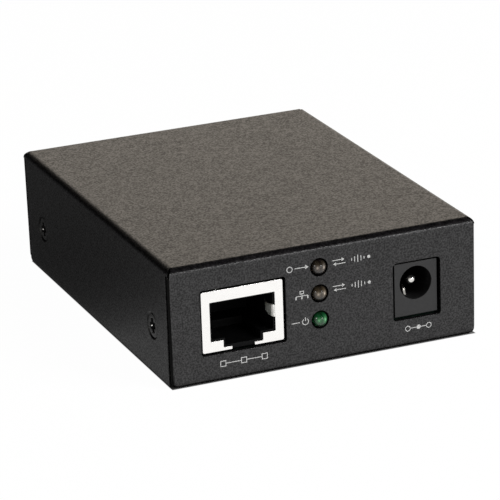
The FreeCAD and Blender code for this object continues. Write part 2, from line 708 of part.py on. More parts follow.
def make_posts():
    """Four threaded standoffs clinched into the floor."""
    posts = []
    for i, (x, y) in enumerate(post_places()):
        name = f"Post{i + 1}"
        barrel = cylinder(name + "Barrel", "post_diameter / 2", "post_height", (x, y, "base_sheet"))
        shank = cylinder(name + "Shank", "clinch_diameter / 2", "base_sheet - clinch_fit",
                         (x, y, "clinch_fit"))
        hole = cylinder(name + "Hole", "board_screw_thread / 2 + screw_fit", f"2 * {BOARD_UNDER}",
                        (x, y, f"-{BOARD_UNDER} / 2"))
        posts.append(cut(name, fused(name + "Blank", [barrel, shank]), hole))
    return node(group("Posts", posts), "board_standoffs")


def make_board_screws():
    """Four pan-head cross screws that hold the board."""
    screws = []
    for i, (x, y) in enumerate(post_places()):
        name = f"BoardScrew{i + 1}"
        head = cylinder(name + "Head", "board_screw_head / 2", "board_screw_crown / 2", (x, y, BOARD_TOP))
        crown = cone(name + "Crown", "board_screw_head / 2", "board_screw_thread / 2",
                     "board_screw_crown / 2", (x, y, f"{BOARD_TOP} + board_screw_crown / 2"))
        shank = cylinder(name + "Shank", "board_screw_thread / 2", "board_screw_grip + board_screw_crown / 2",
                         (x, y, f"{BOARD_TOP} - board_screw_grip"))
        recess_low = f"{BOARD_TOP} + board_screw_crown - drive_depth"
        arms = [centred_box(name + arm + "Arm", (wide, deep, "drive_depth"), (x, y), recess_low)
                for arm, wide, deep in (("Wide", "drive_span", "drive_slot"),
                                        ("Deep", "drive_slot", "drive_span"))]
        blank = fused(name + "Blank", [head, crown, shank])
        screws.append(cut(name, blank, fused(name + "Recess", arms)))
    return node(group("BoardScrews", screws), "board_screws")


def make_board():
    """The circuit board with its four screw holes."""
    body = new_body("CircuitBoard")
    depth = "case_depth - 2 * (cover_sheet + board_end_gap)"
    board = rectangle("0", "0", f"2 * {BOARD_HALF_W}", depth)
    pad(body, outline(body, "Board", "XY_Plane", BOARD_UNDER, [board]), "board_thickness")
    holes = [(x, y, "board_screw_thread / 2 + screw_fit") for x, y in post_places()]
    pocket(body, outline(body, "BoardHoles", "XY_Plane", BOARD_UNDER, circles=holes),
           "board_thickness", reverse=True)
    return node(body, "circuit_board")


# ---------------------------------------------------------------- network jack

JACK_MIDDLE_Y = f"({JACK_FACE} + jack_depth / 2)"
CAVITY_SILL = f"({BOARD_TOP} + mouth_sill + (mouth_height - plug_height) / 2)"
FINGER_LEVEL = f"({BOARD_TOP} + mouth_sill + mouth_height / 2)"


def make_shield():
    """Folded shield of the network jack, with its mouth, latch notch and two side fingers."""
    body = new_body("JackShield")
    pad(body, outline(body, "ShieldBlock", "XY_Plane", BOARD_TOP,
                      [rectangle(JACK_AXIS, JACK_MIDDLE_Y, "jack_width", "jack_depth")]), "jack_height")
    hollow = outline(body, "ShieldHollow", "XY_Plane", BOARD_TOP,
                     [rectangle(JACK_AXIS, JACK_MIDDLE_Y, "jack_width - 2 * shield_sheet",
                                "jack_depth - 2 * shield_sheet")])
    pocket(body, hollow, "jack_height - shield_sheet", reverse=True)
    sill = f"{BOARD_TOP} + mouth_sill"

    def across(offset, level):
        return (f"{JACK_AXIS} + ({offset})", level)

    mouth = [across("-mouth_width / 2", sill), across("-latch_width / 2", sill),
             across("-latch_width / 2", f"{sill} - latch_drop"),
             across("-latch_break / 2", f"{sill} - latch_drop"),
             across("-latch_break / 2", f"{BOARD_TOP} - shield_fit"),
             across("latch_break / 2", f"{BOARD_TOP} - shield_fit"),
             across("latch_break / 2", f"{sill} - latch_drop"),
             across("latch_width / 2", f"{sill} - latch_drop"),
             across("latch_width / 2", sill), across("mouth_width / 2", sill),
             across("mouth_width / 2", f"{sill} + mouth_height"),
             across("-mouth_width / 2", f"{sill} + mouth_height")]
    pocket(body, outline(body, "ShieldMouth", "XZ_Plane", f"-{JACK_FACE}", [mouth]),
           "shield_sheet + shield_fit")
    fingers = []
    for side in ("-1", "1"):
        def at(inward, behind, side=side):
            return (f"{JACK_AXIS} + {side} * (mouth_width / 2 - ({inward}))", f"{JACK_FACE} + ({behind})")
        fingers.append([at("-shield_sheet", "0"), at("0", "0"),
                        at("finger_bulge", "0.35 * finger_reach"), at("finger_bulge", "0.65 * finger_reach"),
                        at("finger_bulge / 2", "finger_reach"),
                        at("finger_bulge / 2 - shield_sheet", "finger_reach"),
                        at("finger_bulge - shield_sheet", "0.65 * finger_reach"),
                        at("finger_bulge - shield_sheet", "0.35 * finger_reach"),
                        at("-shield_sheet", "shield_sheet")])
    pad(body, outline(body, "ShieldFingers", "XY_Plane", f"{FINGER_LEVEL} - finger_height / 2", fingers),
        "finger_height")
    return node(body, "network_jack_shield")


def make_jack_body():
    """Moulded body of the network jack with the plug cavity and the latch groove."""
    body = new_body("JackBody")
    inset = "(shield_sheet + shield_fit)"
    pad(body, outline(body, "JackBlock", "XY_Plane", BOARD_TOP,
                      [rectangle(JACK_AXIS, JACK_MIDDLE_Y, f"jack_width - 2 * {inset}",
                                 f"jack_depth - 2 * {inset}")]), f"jack_height - {inset}")
    cavity = span(f"{JACK_AXIS} - plug_width / 2", f"{JACK_AXIS} + plug_width / 2",
                  CAVITY_SILL, f"{CAVITY_SILL} + plug_height")
    pocket(body, outline(body, "PlugCavity", "XZ_Plane", f"-{JACK_FACE}", [cavity]), "plug_depth")
    groove = span(f"{JACK_AXIS} - keyway_width / 2", f"{JACK_AXIS} + keyway_width / 2",
                  f"{BOARD_TOP} + keyway_floor", f"{CAVITY_SILL} + shield_fit")
    pocket(body, outline(body, "LatchGroove", "XZ_Plane", f"-{JACK_FACE}", [groove]), "keyway_depth")
    rooms = []
    for side in ("-1", "1"):
        low = f"{JACK_AXIS} + {side} * (plug_width / 2 - shield_sheet)"
        high = f"{JACK_AXIS} + {side} * (mouth_width / 2 + shield_sheet + finger_room)"
        rooms.append(span(low, high, f"{FINGER_LEVEL} - finger_height / 2 - finger_room",
                          f"{FINGER_LEVEL} + finger_height / 2 + finger_room"))
    pocket(body, outline(body, "FingerRooms", "XZ_Plane", f"-{JACK_FACE}", rooms),
           "finger_reach + finger_room")
    return node(body, "network_jack_body")


def make_jack_contacts():
    """Eight spring contacts that slope down from the roof of the plug cavity."""
    roof = f"({CAVITY_SILL} + plug_height)"
    root = f"({JACK_FACE} + contact_root)"
    section = [(root, roof), (f"{root} + 4 * contact_sheet", roof),
               (f"{root} + contact_run", f"{roof} - contact_dip + contact_sheet"),
               (f"{root} + contact_run", f"{roof} - contact_dip"),
               (root, f"{roof} - contact_sheet")]
    total = 8
    contacts = []
    for i in range(total):
        level = f"{JACK_AXIS} + {i - (total - 1) / 2} * contact_pitch - contact_width / 2"
        contacts.append(prism(f"JackContact{i + 1}", "YZ_Plane", level, section, "contact_width"))
    return node(group("JackContacts", contacts), "network_jack_contacts")


# ---------------------------------------------------------------- power socket

def make_power_body():
    """Moulded power socket with its round bore and seats for the pin and the leaf."""
    left = f"{POWER_AXIS} - power_width / 2"
    face = box("PowerFace", ("power_width", "power_face", "power_height - power_foot"),
               (left, POWER_FACE, f"{BOARD_TOP} + power_foot"))
    rear = box("PowerRear", ("power_width", "power_depth - power_face / 2", "power_body"),
               (left, f"{POWER_FACE} + power_face / 2", BOARD_TOP))
    blank = fused("PowerBlock", [face, rear])
    mouth = (POWER_AXIS, POWER_FACE, POWER_LEVEL)
    bore = cylinder("PowerBore", "power_bore / 2", "power_reach", mouth, "+Y")
    seat = cylinder("PinSeat", "pin_diameter / 2 + shield_fit", "power_depth", mouth, "+Y")
    slot = box("LeafSlot", ("leaf_inset + leaf_sheet + 2 * shield_fit", "power_depth",
                            "leaf_height + 2 * shield_fit"),
               (f"{POWER_AXIS} - power_bore / 2 - shield_fit", f"{POWER_FACE} + leaf_recess - shield_fit",
                f"{POWER_LEVEL} - leaf_drop - leaf_height / 2 - shield_fit"))
    return node(cut("PowerBody", blank, fused("PowerVoids", [bore, seat, slot])), "power_socket_body")


def make_power_pin():
    """Centre pin with a rounded tip."""
    radius = "pin_diameter / 2"
    tip = f"({POWER_FACE} + pin_recess + {radius})"
    shaft = cylinder("PinShaft", radius, f"{POWER_FACE} + power_depth + pin_tail - {tip}",
                     (POWER_AXIS, tip, POWER_LEVEL), "+Y")
    point = ball("PinTip", radius, (POWER_AXIS, tip, POWER_LEVEL))
    return node(fused("PowerPin", [shaft, point]), "power_socket_pin")


def make_power_leaf():
    """Side contact leaf with a turned-out lip, held in the rear wall of the socket."""
    wall = f"({POWER_AXIS} - power_bore / 2)"
    front = f"({POWER_FACE} + leaf_recess)"
    back = f"{POWER_FACE} + power_depth + pin_tail"
    bump = f"{wall} + leaf_inset"
    section = [(f"{bump} - leaf_lip / 2", front), (f"{bump} - leaf_lip / 2 + leaf_sheet", front),
               (f"{bump} + leaf_sheet", f"{front} + leaf_lip"), (f"{bump} + leaf_sheet", back),
               (bump, back), (bump, f"{front} + leaf_lip")]
    level = f"{POWER_LEVEL} - leaf_drop - leaf_height / 2"
    return node(prism("PowerLeaf", "XY_Plane", level, section, "leaf_height"), "power_socket_leaf")


# ---------------------------------------------------------------- status lamps

LAMP_TIP = f"(-{HALF_D} - lamp_proud)"
LAMP_BACK = f"({LAMP_TIP} + lamp_length)"
HOLDER_BACK = f"({HOLDER_FACE} + holder_depth)"
LAMP_NAMES = ("lamp_lower", "lamp_middle", "lamp_upper")


def lamp_height(i):
    """Axis of the lamp i steps above the lowest."""
    return f"(lamp_level + {i} * {LAMP_PITCH})"


def make_lamp(i, name):
    """One lamp: a domed lens with a rim at its back."""
    tag = name.title().replace("_", "")
    radius = "lamp_diameter / 2"
    centre = ("-lamp_offset", f"{LAMP_TIP} + {radius}", lamp_height(i))
    dome = ball(tag + "Dome", radius, centre)
    barrel = cylinder(tag + "Barrel", radius, f"lamp_length - {radius}", centre, "+Y")
    rim = cylinder(tag + "Rim", "lamp_rim / 2", "lamp_rim_depth",
                   ("-lamp_offset", f"{LAMP_BACK} - lamp_rim_depth", lamp_height(i)), "+Y")
    return node(fused(tag, [dome, barrel, rim]), name)


def make_lamp_holder():
    """Stacked holder with a stepped bore for each lamp."""
    top = f"{lamp_height(len(LAMP_NAMES) - 1)} + holder_margin"
    block = box("HolderBlock", ("holder_width", "holder_depth", f"{top} - {BOARD_TOP}"),
                ("-lamp_offset - holder_width / 2", HOLDER_FACE, BOARD_TOP))
    voids = []
    for i in range(len(LAMP_NAMES)):
        voids.append(cylinder(f"HolderBore{i + 1}", "lamp_diameter / 2 + lamp_fit", "holder_depth",
                              ("-lamp_offset", HOLDER_FACE, lamp_height(i)), "+Y"))
        seat = ("-lamp_offset", f"{LAMP_BACK} - lamp_rim_depth - lamp_fit", lamp_height(i))
        voids.append(cylinder(f"HolderCounterbore{i + 1}", "lamp_rim / 2 + lamp_fit", "holder_depth",
                              seat, "+Y"))
    return node(cut("LampHolder", block, fused("HolderVoids", voids)), "lamp_holder")


def make_lamp_leads():
    """Two bent leads from each lamp down to the board."""
    leads = []
    for i in range(len(LAMP_NAMES)):
        drop = f"({HOLDER_BACK} + lead_first + {i} * lead_step)"
        for side in ("-1", "1"):
            name = f"LampLead{i + 1}{'A' if side == '-1' else 'B'}"
            x = f"-lamp_offset + {side} * lead_spread / 2 - lead_side / 2"
            run = box(name + "Run", ("lead_side", f"{drop} + lead_side - {LAMP_BACK}", "lead_side"),
                      (x, LAMP_BACK, f"{lamp_height(i)} - lead_side / 2"))
            fall = box(name + "Fall", ("lead_side", "lead_side", f"{lamp_height(i)} - {BOARD_TOP}"),
                       (x, drop, BOARD_TOP))
            leads.append(fused(name, [run, fall]))
    return node(group("LampLeads", leads), "lamp_leads")


# ---------------------------------------------------------------- transceiver cage

EDGE_BACK = f"({CAGE_END} + cage_sheet + edge_back_gap)"
EDGE_FRONT = f"({EDGE_BACK} + edge_depth)"


def make_cage():
    """Folded cage for a plug-in fibre transceiver, open at the rear panel."""
    body = new_body("TransceiverCage")
    pad(body, outline(body, "CageBlock", "XY_Plane", BOARD_TOP,
                      [rectangle(CAGE_AXIS, f"({CAGE_MOUTH} - cage_depth / 2)", "cage_width", "cage_depth")]),
        "cage_height")
    inside = span(f"{CAGE_AXIS} - cage_width / 2 + cage_sheet", f"{CAGE_AXIS} + cage_width / 2 - cage_sheet",
                  f"{BOARD_TOP} + cage_sheet", f"{BOARD_TOP} + cage_height - cage_sheet")
    pocket(body, outline(body, "CageInside", "XZ_Plane", f"-{CAGE_MOUTH}", [inside]),
           "cage_depth - cage_sheet", reverse=True)
    window = span(f"{CAGE_AXIS} - cage_width / 2 + cage_sheet", f"{CAGE_AXIS} + cage_width / 2 - cage_sheet",
                  f"{CAGE_END} + cage_sheet", f"{CAGE_END} + cage_sheet + cage_window")
    pocket(body, outline(body, "CageWindow", "XY_Plane", BOARD_TOP, [window]), "cage_sheet", reverse=True)
    return node(body, "transceiver_cage")


def make_edge_connector():
    """Moulded edge connector at the cage's inner end."""
    block = box("EdgeBlock", ("edge_width", "edge_depth", "edge_height"),
                (f"{CAGE_AXIS} - edge_width / 2", EDGE_BACK, BOARD_TOP))
    slot = box("EdgeSlot", ("edge_slot_width", "edge_slot_depth", "edge_slot_height"),
               (f"{CAGE_AXIS} - edge_slot_width / 2", f"{EDGE_FRONT} - edge_slot_depth",
                f"{BOARD_TOP} + edge_slot_level - edge_slot_height / 2"))
    return node(cut("EdgeConnector", block, slot), "edge_connector_body")


def make_edge_contacts():
    """Two rows of ten contacts on the floor and the roof of the card slot."""
    floor = f"{BOARD_TOP} + edge_slot_level - edge_slot_height / 2"
    roof = f"{BOARD_TOP} + edge_slot_level + edge_slot_height / 2 - edge_pin_sheet"
    total = 10
    contacts = []
    for row, level in (("Lower", floor), ("Upper", roof)):
        for i in range(total):
            x = f"{CAGE_AXIS} + {i - (total - 1) / 2} * edge_pitch - edge_pin / 2"
            contacts.append(box(f"EdgeContact{row}{i + 1}", ("edge_pin", "edge_slot_depth", "edge_pin_sheet"),
                                (x, f"{EDGE_FRONT} - edge_slot_depth", level)))
    return node(group("EdgeContacts", contacts), "edge_connector_contacts")


# ---------------------------------------------------------------- parts on the board

SIDE_NAMES = {"-X": "Left", "+X": "Right", "-Y": "Front", "+Y": "Rear"}


def beyond(face, side, length):
    """Low corner of a box that starts at a face and runs the given length outward from it."""
    return f"{face} + ({side[0]}1 - 1) * {length} / 2"


def gull(name, side, x, y, rise):
    """A bent lead that stands against a package's side and ends in a foot on the board."""
    pieces = []
    for kind, length, tall in (("Post", "gull_sheet", rise), ("Foot", "gull_reach", "gull_sheet")):
        if side[1] == "X":
            extent = (length, "gull_width", tall)
            corner = (beyond(x, side, length), f"{y} - gull_width / 2", BOARD_TOP)
        else:
            extent = ("gull_width", length, tall)
            corner = (f"{x} - gull_width / 2", beyond(y, side, length), BOARD_TOP)
        pieces.append(box(name + kind, extent, corner))
    return fused(name, pieces)


def gull_rows(name, centre, package, sides, copies, pitch):
    """Rows of bent leads along the named sides of a package."""
    x, y = centre
    width, depth, height = package
    leads = []
    for side in sides:
        for i in range(copies):
            along = f"{i - (copies - 1) / 2} * {pitch}"
            if side[1] == "X":
                spot = (f"{x} + {side[0]}1 * {width} / 2", f"{y} + {along}")
            else:
                spot = (f"{x} + {along}", f"{y} + {side[0]}1 * {depth} / 2")
            leads.append(gull(f"{name}{SIDE_NAMES[side]}{i + 1}", side, *spot, f"{height} / 2"))
    return group(name, leads)


def make_transformer():
    """Line transformer beside the transceiver cage, with its leads."""
    centre = (TRANSFORMER_AXIS,
              f"({POST_FRONT_Y} + post_diameter / 2 + transformer_gap + transformer_depth / 2)")
    package = ("transformer_width", "transformer_depth", "transformer_height")
    node(centred_box("Transformer", package, centre, BOARD_TOP), "line_transformer")
    leads = gull_rows("TransformerLead", centre, package, ("-X", "+X"), count("gull_count"), "gull_pitch")
    node(leads, "line_transformer_leads")


def make_chips():
    """Converter chip, memory chip and regulator, each with its leads."""
    centre = ("chip_x", "(-chip_y)")
    package = ("chip_side", "chip_side", "chip_height")
    node(centred_box("ConverterChip", package, centre, BOARD_TOP), "converter_chip")
    node(gull_rows("ConverterLead", centre, package, ("-X", "+X", "-Y", "+Y"),
                   count("chip_lead_count"), "chip_lead_pitch"), "converter_chip_leads")
    centre = ("(case_width / 2 - memory_side)", "memory_y")
    package = ("memory_width", "memory_depth", "memory_height")
    node(centred_box("MemoryChip", package, centre, BOARD_TOP), "memory_chip")
    node(gull_rows("MemoryLead", centre, package, ("-Y", "+Y"), 4, "memory_pitch"), "memory_chip_leads")
    centre = (REGULATOR_AXIS, POST_FRONT_Y)
    package = ("regulator_width", "regulator_depth", "regulator_height")
    node(centred_box("Regulator", package, centre, BOARD_TOP), "voltage_regulator")
    node(gull_rows("RegulatorLead", centre, package, ("-Y", "+Y"), 3, "gull_pitch"),
         "voltage_regulator_leads")


def make_power_parts():
    """Power inductor, electrolytic capacitors and clock crystal."""
    choke = ("choke_side", "choke_side", "choke_height")
    node(centred_box("Choke", choke, (CHOKE_AXIS, POST_FRONT_Y), BOARD_TOP), "power_inductor")
    cans = []
    for i in range(2):
        centre = ("can_x", f"({HALF_D} - can_rear - {i} * can_pitch)")
        base = centred_box(f"CanBase{i + 1}", ("can_base", "can_base", "can_base_height"), centre, BOARD_TOP)
        can = cylinder(f"Can{i + 1}", "can_diameter / 2", "can_height", (*centre, BOARD_TOP))
        cans.append(fused(f"Capacitor{i + 1}", [base, can]))
    node(group("Cans", cans), "electrolytic_capacitors")
    node(centred_box("Crystal", ("crystal_width", "crystal_depth", "crystal_height"),
                     ("(case_width / 2 - crystal_side)", "crystal_y"), BOARD_TOP), "clock_crystal")


def make_small_parts():
    """Rows of chip resistors and chip capacitors."""
    capacitor_x = "(case_width / 2 - capacitor_row_side)"
    rows = (("Resistor", "resistor_count", "resistor_row_x", "resistor_row_y", "chip_resistors"),
            ("ChipCapacitor", "capacitor_count", capacitor_x, "capacitor_row_y", "chip_capacitors"))
    for tag, copies, x, y, name in rows:
        parts = [centred_box(f"{tag}{i + 1}", ("chip_part_width", "chip_part_length", "chip_part_height"),
                             (x, f"({i} * chip_part_pitch - {y})"), BOARD_TOP)
                 for i in range(count(copies))]
        node(group(tag + "s", parts), name)


# ---------------------------------------------------------------- build, check and write

def check():
    """Stop on any failed object or bad shape, before anything is written."""
    for thing in doc.Objects:
        if "Invalid" in thing.State or "Error" in thing.State:
            raise RuntimeError(f"{thing.Name}: {thing.State}")
    for part in nodes:
        if part.Shape.isNull() or not part.Shape.isValid() or not part.Shape.Solids:
            raise RuntimeError(f"{part.Label}: bad shape")


def write():
    """Write each sub-part to its own STEP file."""
    os.makedirs("parts", exist_ok=True)
    for part in nodes:
        part.Shape.exportStep(f"parts/{part.Label}.step")
        extent = part.Shape.BoundBox
        print(f"{part.Label:26s} {len(part.Shape.Solids):3d} solids {part.Shape.Volume:10.2f} mm3  "
              f"x {extent.XMin:7.2f} {extent.XMax:7.2f}  y {extent.YMin:7.2f} {extent.YMax:7.2f}  "
              f"z {extent.ZMin:6.2f} {extent.ZMax:6.2f}")


sheet = fill_sheet()
make_base()
make_cover()
make_cover_screws()
make_posts()
make_board()
make_board_screws()
make_shield()
make_jack_body()
make_jack_contacts()
make_power_body()
make_power_pin()
make_power_leaf()
make_lamp_holder()
for step, lamp_name in enumerate(LAMP_NAMES):
    make_lamp(step, lamp_name)
make_lamp_leads()
make_cage()
make_edge_connector()
make_edge_contacts()
make_transformer()
make_chips()
make_power_parts()
make_small_parts()
doc.recompute()
check()
write()
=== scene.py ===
"""Looks of the fibre media converter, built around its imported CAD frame. Lengths are in metres, or in
millimetres where MM multiplies them."""
import json
import math

import bmesh
import bpy
from mathutils import Matrix, Vector


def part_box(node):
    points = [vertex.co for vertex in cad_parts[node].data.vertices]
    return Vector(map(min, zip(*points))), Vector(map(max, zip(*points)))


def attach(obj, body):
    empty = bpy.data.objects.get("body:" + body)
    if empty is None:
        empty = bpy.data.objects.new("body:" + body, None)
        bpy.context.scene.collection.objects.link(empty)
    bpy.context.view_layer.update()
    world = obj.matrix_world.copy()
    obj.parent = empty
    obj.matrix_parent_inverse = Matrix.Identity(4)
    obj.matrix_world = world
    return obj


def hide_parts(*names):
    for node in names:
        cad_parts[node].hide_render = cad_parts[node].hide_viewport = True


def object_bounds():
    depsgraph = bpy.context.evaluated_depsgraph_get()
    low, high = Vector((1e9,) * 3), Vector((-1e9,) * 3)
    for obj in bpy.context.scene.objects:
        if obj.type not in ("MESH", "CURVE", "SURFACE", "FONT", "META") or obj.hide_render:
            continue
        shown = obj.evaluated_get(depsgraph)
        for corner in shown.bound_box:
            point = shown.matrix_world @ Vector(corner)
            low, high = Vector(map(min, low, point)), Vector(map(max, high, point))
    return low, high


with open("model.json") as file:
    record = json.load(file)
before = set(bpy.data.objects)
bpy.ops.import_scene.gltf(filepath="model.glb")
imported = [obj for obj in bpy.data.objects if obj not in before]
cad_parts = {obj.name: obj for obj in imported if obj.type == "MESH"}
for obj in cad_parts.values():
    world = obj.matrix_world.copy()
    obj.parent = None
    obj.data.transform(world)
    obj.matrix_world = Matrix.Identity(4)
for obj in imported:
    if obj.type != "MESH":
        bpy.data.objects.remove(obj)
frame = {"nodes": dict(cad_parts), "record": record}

cad_lo, cad_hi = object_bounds()
nodes = frame["nodes"]
slots = {part["node"]: part["material_slot"] for part in frame["record"]["subparts"]}

MM = 0.001
NEAR = 0.02 * MM                    # a point this close to a plane lies on it
SHARP_ANGLE = math.radians(32.0)    # edges that turn more than this are rounded
FLAT_ANGLE = math.radians(0.4)      # faces that turn less than this are joined
LENS_RADIUS = 1.43                  # of a lamp's dome, in millimetres
WHITE = (1, 1, 1, 1)


# ---------------------------------------------------------------- shader helpers

def new_material(name):
    """A material with an empty node tree, and that tree."""
    material = bpy.data.materials.new(name)
    material.use_nodes = True
    material.node_tree.nodes.clear()
    return material, material.node_tree


def add(tree, kind, **settings):
    """A node with the given properties and input values; an underscore stands for a space."""
    made = tree.nodes.new(kind)
    for key, value in settings.items():
        if hasattr(made, key):
            setattr(made, key, value)
        else:
            made.inputs[key.replace("_", " ")].default_value = value
    return made


def feed(tree, socket, value):
    """Give an input a plain value, or link another node's output to it."""
    if isinstance(value, bpy.types.NodeSocket):
        tree.links.new(value, socket)
    else:
        socket.default_value = value


def split(tree, vector):
    """The X, Y and Z of a vector."""
    parts = add(tree, "ShaderNodeSeparateXYZ")
    tree.links.new(vector, parts.inputs["Vector"])
    return parts.outputs


def noise(tree, scale, detail=2.0, offset=(0, 0, 0)):
    """Noise in object space; scale is in features a metre."""
    place = add(tree, "ShaderNodeTexCoord")
    shift = add(tree, "ShaderNodeMapping", Location=offset)
    made = add(tree, "ShaderNodeTexNoise", Scale=scale, Detail=detail, Roughness=0.6)
    tree.links.new(place.outputs["Object"], shift.inputs["Vector"])
    tree.links.new(shift.outputs["Vector"], made.inputs["Vector"])
    return made.outputs["Fac"]


def ramp(tree, source, stops):
    """A colour ramp over a value."""
    made = add(tree, "ShaderNodeValToRGB")
    elements = made.color_ramp.elements
    while len(elements) < len(stops):
        elements.new(0.5)
    for element, (place, colour) in zip(elements, stops):
        element.position = place
        element.color = (*colour, 1.0)
    tree.links.new(source, made.inputs["Fac"])
    return made.outputs["Color"]


def rescaled(tree, source, step="LINEAR", **limits):
    """A value taken from one range to another, which are each 0 to 1 where no limits are given."""
    made = add(tree, "ShaderNodeMapRange", interpolation_type=step, **limits)
    tree.links.new(source, made.inputs["Value"])
    return made.outputs["Result"]


def masked(tree, source, start, stop):
    """A smooth step from 0 at start to 1 at stop."""
    return rescaled(tree, source, "SMOOTHSTEP", From_Min=start, From_Max=stop)


def combine(tree, operation, first, second=0.0):
    """The result of a maths node; either value may be a plain number."""
    made = add(tree, "ShaderNodeMath", operation=operation)
    feed(tree, made.inputs[0], first)
    feed(tree, made.inputs[1], second)
    return made.outputs[0]


def mixed(tree, share, first, second):
    """Two shaders mixed, with the given share of the second."""
    made = add(tree, "ShaderNodeMixShader")
    feed(tree, made.inputs["Fac"], share)
    tree.links.new(first, made.inputs[1])
    tree.links.new(second, made.inputs[2])
    return made.outputs["Shader"]


def blended(tree, share, first, second, way="MIX"):
    """Two colours mixed or added, with the given share of the second."""
    made = add(tree, "ShaderNodeMix", data_type="RGBA", blend_type=way)
    for place, value in ((0, share), (6, first), (7, second)):
        feed(tree, made.inputs[place], value)
    return made.outputs[2]


def connect(tree, shader, kind="ShaderNodeOutputMaterial"):
    """Make the shader the tree's surface."""
    tree.links.new(shader, add(tree, kind).inputs["Surface"])


def pitted(tree, shader, scale, share):
    """The shader with fine dark pits, which each take the given share of its light, and with broader
    patches a quarter as deep."""
    fine = masked(tree, noise(tree, scale, 1.0, offset=(5, 2, 1)), 0.36, 0.64)
    broad = masked(tree, noise(tree, scale / 5, 2.0, offset=(1, 6, 3)), 0.30, 0.70)
    depth = combine(tree, "ADD", combine(tree, "MULTIPLY", fine, share),
                    combine(tree, "MULTIPLY", broad, share / 4))
    black = add(tree, "ShaderNodeBsdfDiffuse", Color=(0.0004, 0.0004, 0.0004, 1))
    return mixed(tree, depth, shader, black.outputs["BSDF"])


def surface(name, dark, light, scale, rough, metallic=0.0, specular=0.5, bump=None, pits=None):
    """A varied surface: noise of the given scale takes its colour from dark to light and its roughness
    over its range. The bump is a noise scale, a strength and a height; the pits are as pitted says."""
    material, tree = new_material(name)
    shader = add(tree, "ShaderNodeBsdfPrincipled", Metallic=metallic, Specular_IOR_Level=specular)
    tree.links.new(ramp(tree, noise(tree, scale, 3.0), [(0.3, dark), (0.7, light)]),
                   shader.inputs["Base Color"])
    varied = noise(tree, scale * 1.7, offset=(3, 1, 2))
    tree.links.new(rescaled(tree, varied, To_Min=rough[0], To_Max=rough[1]), shader.inputs["Roughness"])
    if bump:
        grain, strength, height = bump
        raised = add(tree, "ShaderNodeBump", Strength=strength, Distance=height)
        tree.links.new(noise(tree, grain, offset=(grain % 7, 0, 0)), raised.inputs["Height"])
        tree.links.new(raised.outputs["Normal"], shader.inputs["Normal"])
    seen = shader.outputs["BSDF"]
    connect(tree, pitted(tree, seen, *pits) if pits else seen)
    return material


# ---------------------------------------------------------------- materials

paint = surface("case_paint", (0.0006, 0.0005, 0.0006), (0.0086, 0.0078, 0.0084), 1500, (0.27, 0.35),
                specular=0.70, bump=(2400, 1.0, 0.00002), pits=(3000, 0.46))
# a near-black, dull finish: painted shade for the cover's seams and sheet edges
cut_edge_shade = surface("cut_edge_painted_shade", (0.0008, 0.0008, 0.0008), (0.0018, 0.0018, 0.0018), 1500,
                   (0.5, 0.6), specular=0.08)
screw_black = surface("black_zinc", (0.008, 0.008, 0.008), (0.014, 0.014, 0.014), 3000, (0.30, 0.40),
                      specular=0.55, bump=(3000, 0.5, 0.00003))
tin = surface("tin_plate", (0.955, 0.94, 0.915), (0.985, 0.97, 0.945), 900, (0.20, 0.30), 1.0,
              bump=(1500, 0.1, 0.00001))
# a bright and a dark copy of the tin plate, as painted highlight and painted shade on the jack's springs
tin_painted_shade = surface("tin_plate_painted_shade", (0.24, 0.25, 0.23), (0.30, 0.31, 0.29), 900, (0.5, 0.6), 0.35)
tin_painted_highlight = surface("tin_plate_painted_highlight", (0.88, 0.87, 0.84), (0.96, 0.95, 0.92), 900, (0.4, 0.5), 0.15)
steel = surface("plated_steel", (0.60, 0.59, 0.57), (0.68, 0.67, 0.65), 900, (0.24, 0.34), 1.0,
                bump=(2500, 0.1, 0.00001))
pin_chrome = surface("nickel_pin", (0.66, 0.65, 0.62), (0.74, 0.73, 0.70), 900, (0.12, 0.20), 1.0)
leaf_steel = surface("leaf_steel", (0.30, 0.29, 0.27), (0.38, 0.37, 0.34), 900, (0.20, 0.28), 1.0)
gold = surface("gold_contact", (0.80, 0.60, 0.28), (0.88, 0.70, 0.38), 900, (0.18, 0.28), 1.0)
black_plastic = surface("black_plastic", (0.0009, 0.0009, 0.0010), (0.0018, 0.0018, 0.0019), 1500,
                        (0.42, 0.52), specular=0.09, bump=(4000, 0.4, 0.00002))
socket_plastic = surface("socket_plastic", (0.004, 0.004, 0.0042), (0.007, 0.007, 0.0072), 1500,
                         (0.38, 0.48), bump=(2600, 0.5, 0.00003))
board_green = surface("circuit_board", (0.003, 0.008, 0.006), (0.005, 0.013, 0.009), 250, (0.30, 0.40),
                      specular=0.3)
resin = surface("black_resin", (0.014, 0.014, 0.014), (0.022, 0.022, 0.022), 2500, (0.5, 0.6),
                bump=(6000, 0.3, 0.00001))
ferrite = surface("grey_ferrite", (0.10, 0.10, 0.105), (0.15, 0.15, 0.155), 2500, (0.5, 0.6),
                  bump=(5000, 0.3, 0.00001))
aluminium = surface("can_aluminium", (0.74, 0.74, 0.73), (0.80, 0.80, 0.79), 700, (0.24, 0.34), 1.0)
ceramic = surface("tan_ceramic", (0.40, 0.29, 0.18), (0.50, 0.38, 0.25), 2500, (0.4, 0.5))
ink = surface("white_ink", (0.27, 0.27, 0.27), (0.35, 0.35, 0.34), 5000, (0.5, 0.6))


def box_middle(node):
    """The middle of a CAD node's box."""
    low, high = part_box(node)
    return (low + high) / 2


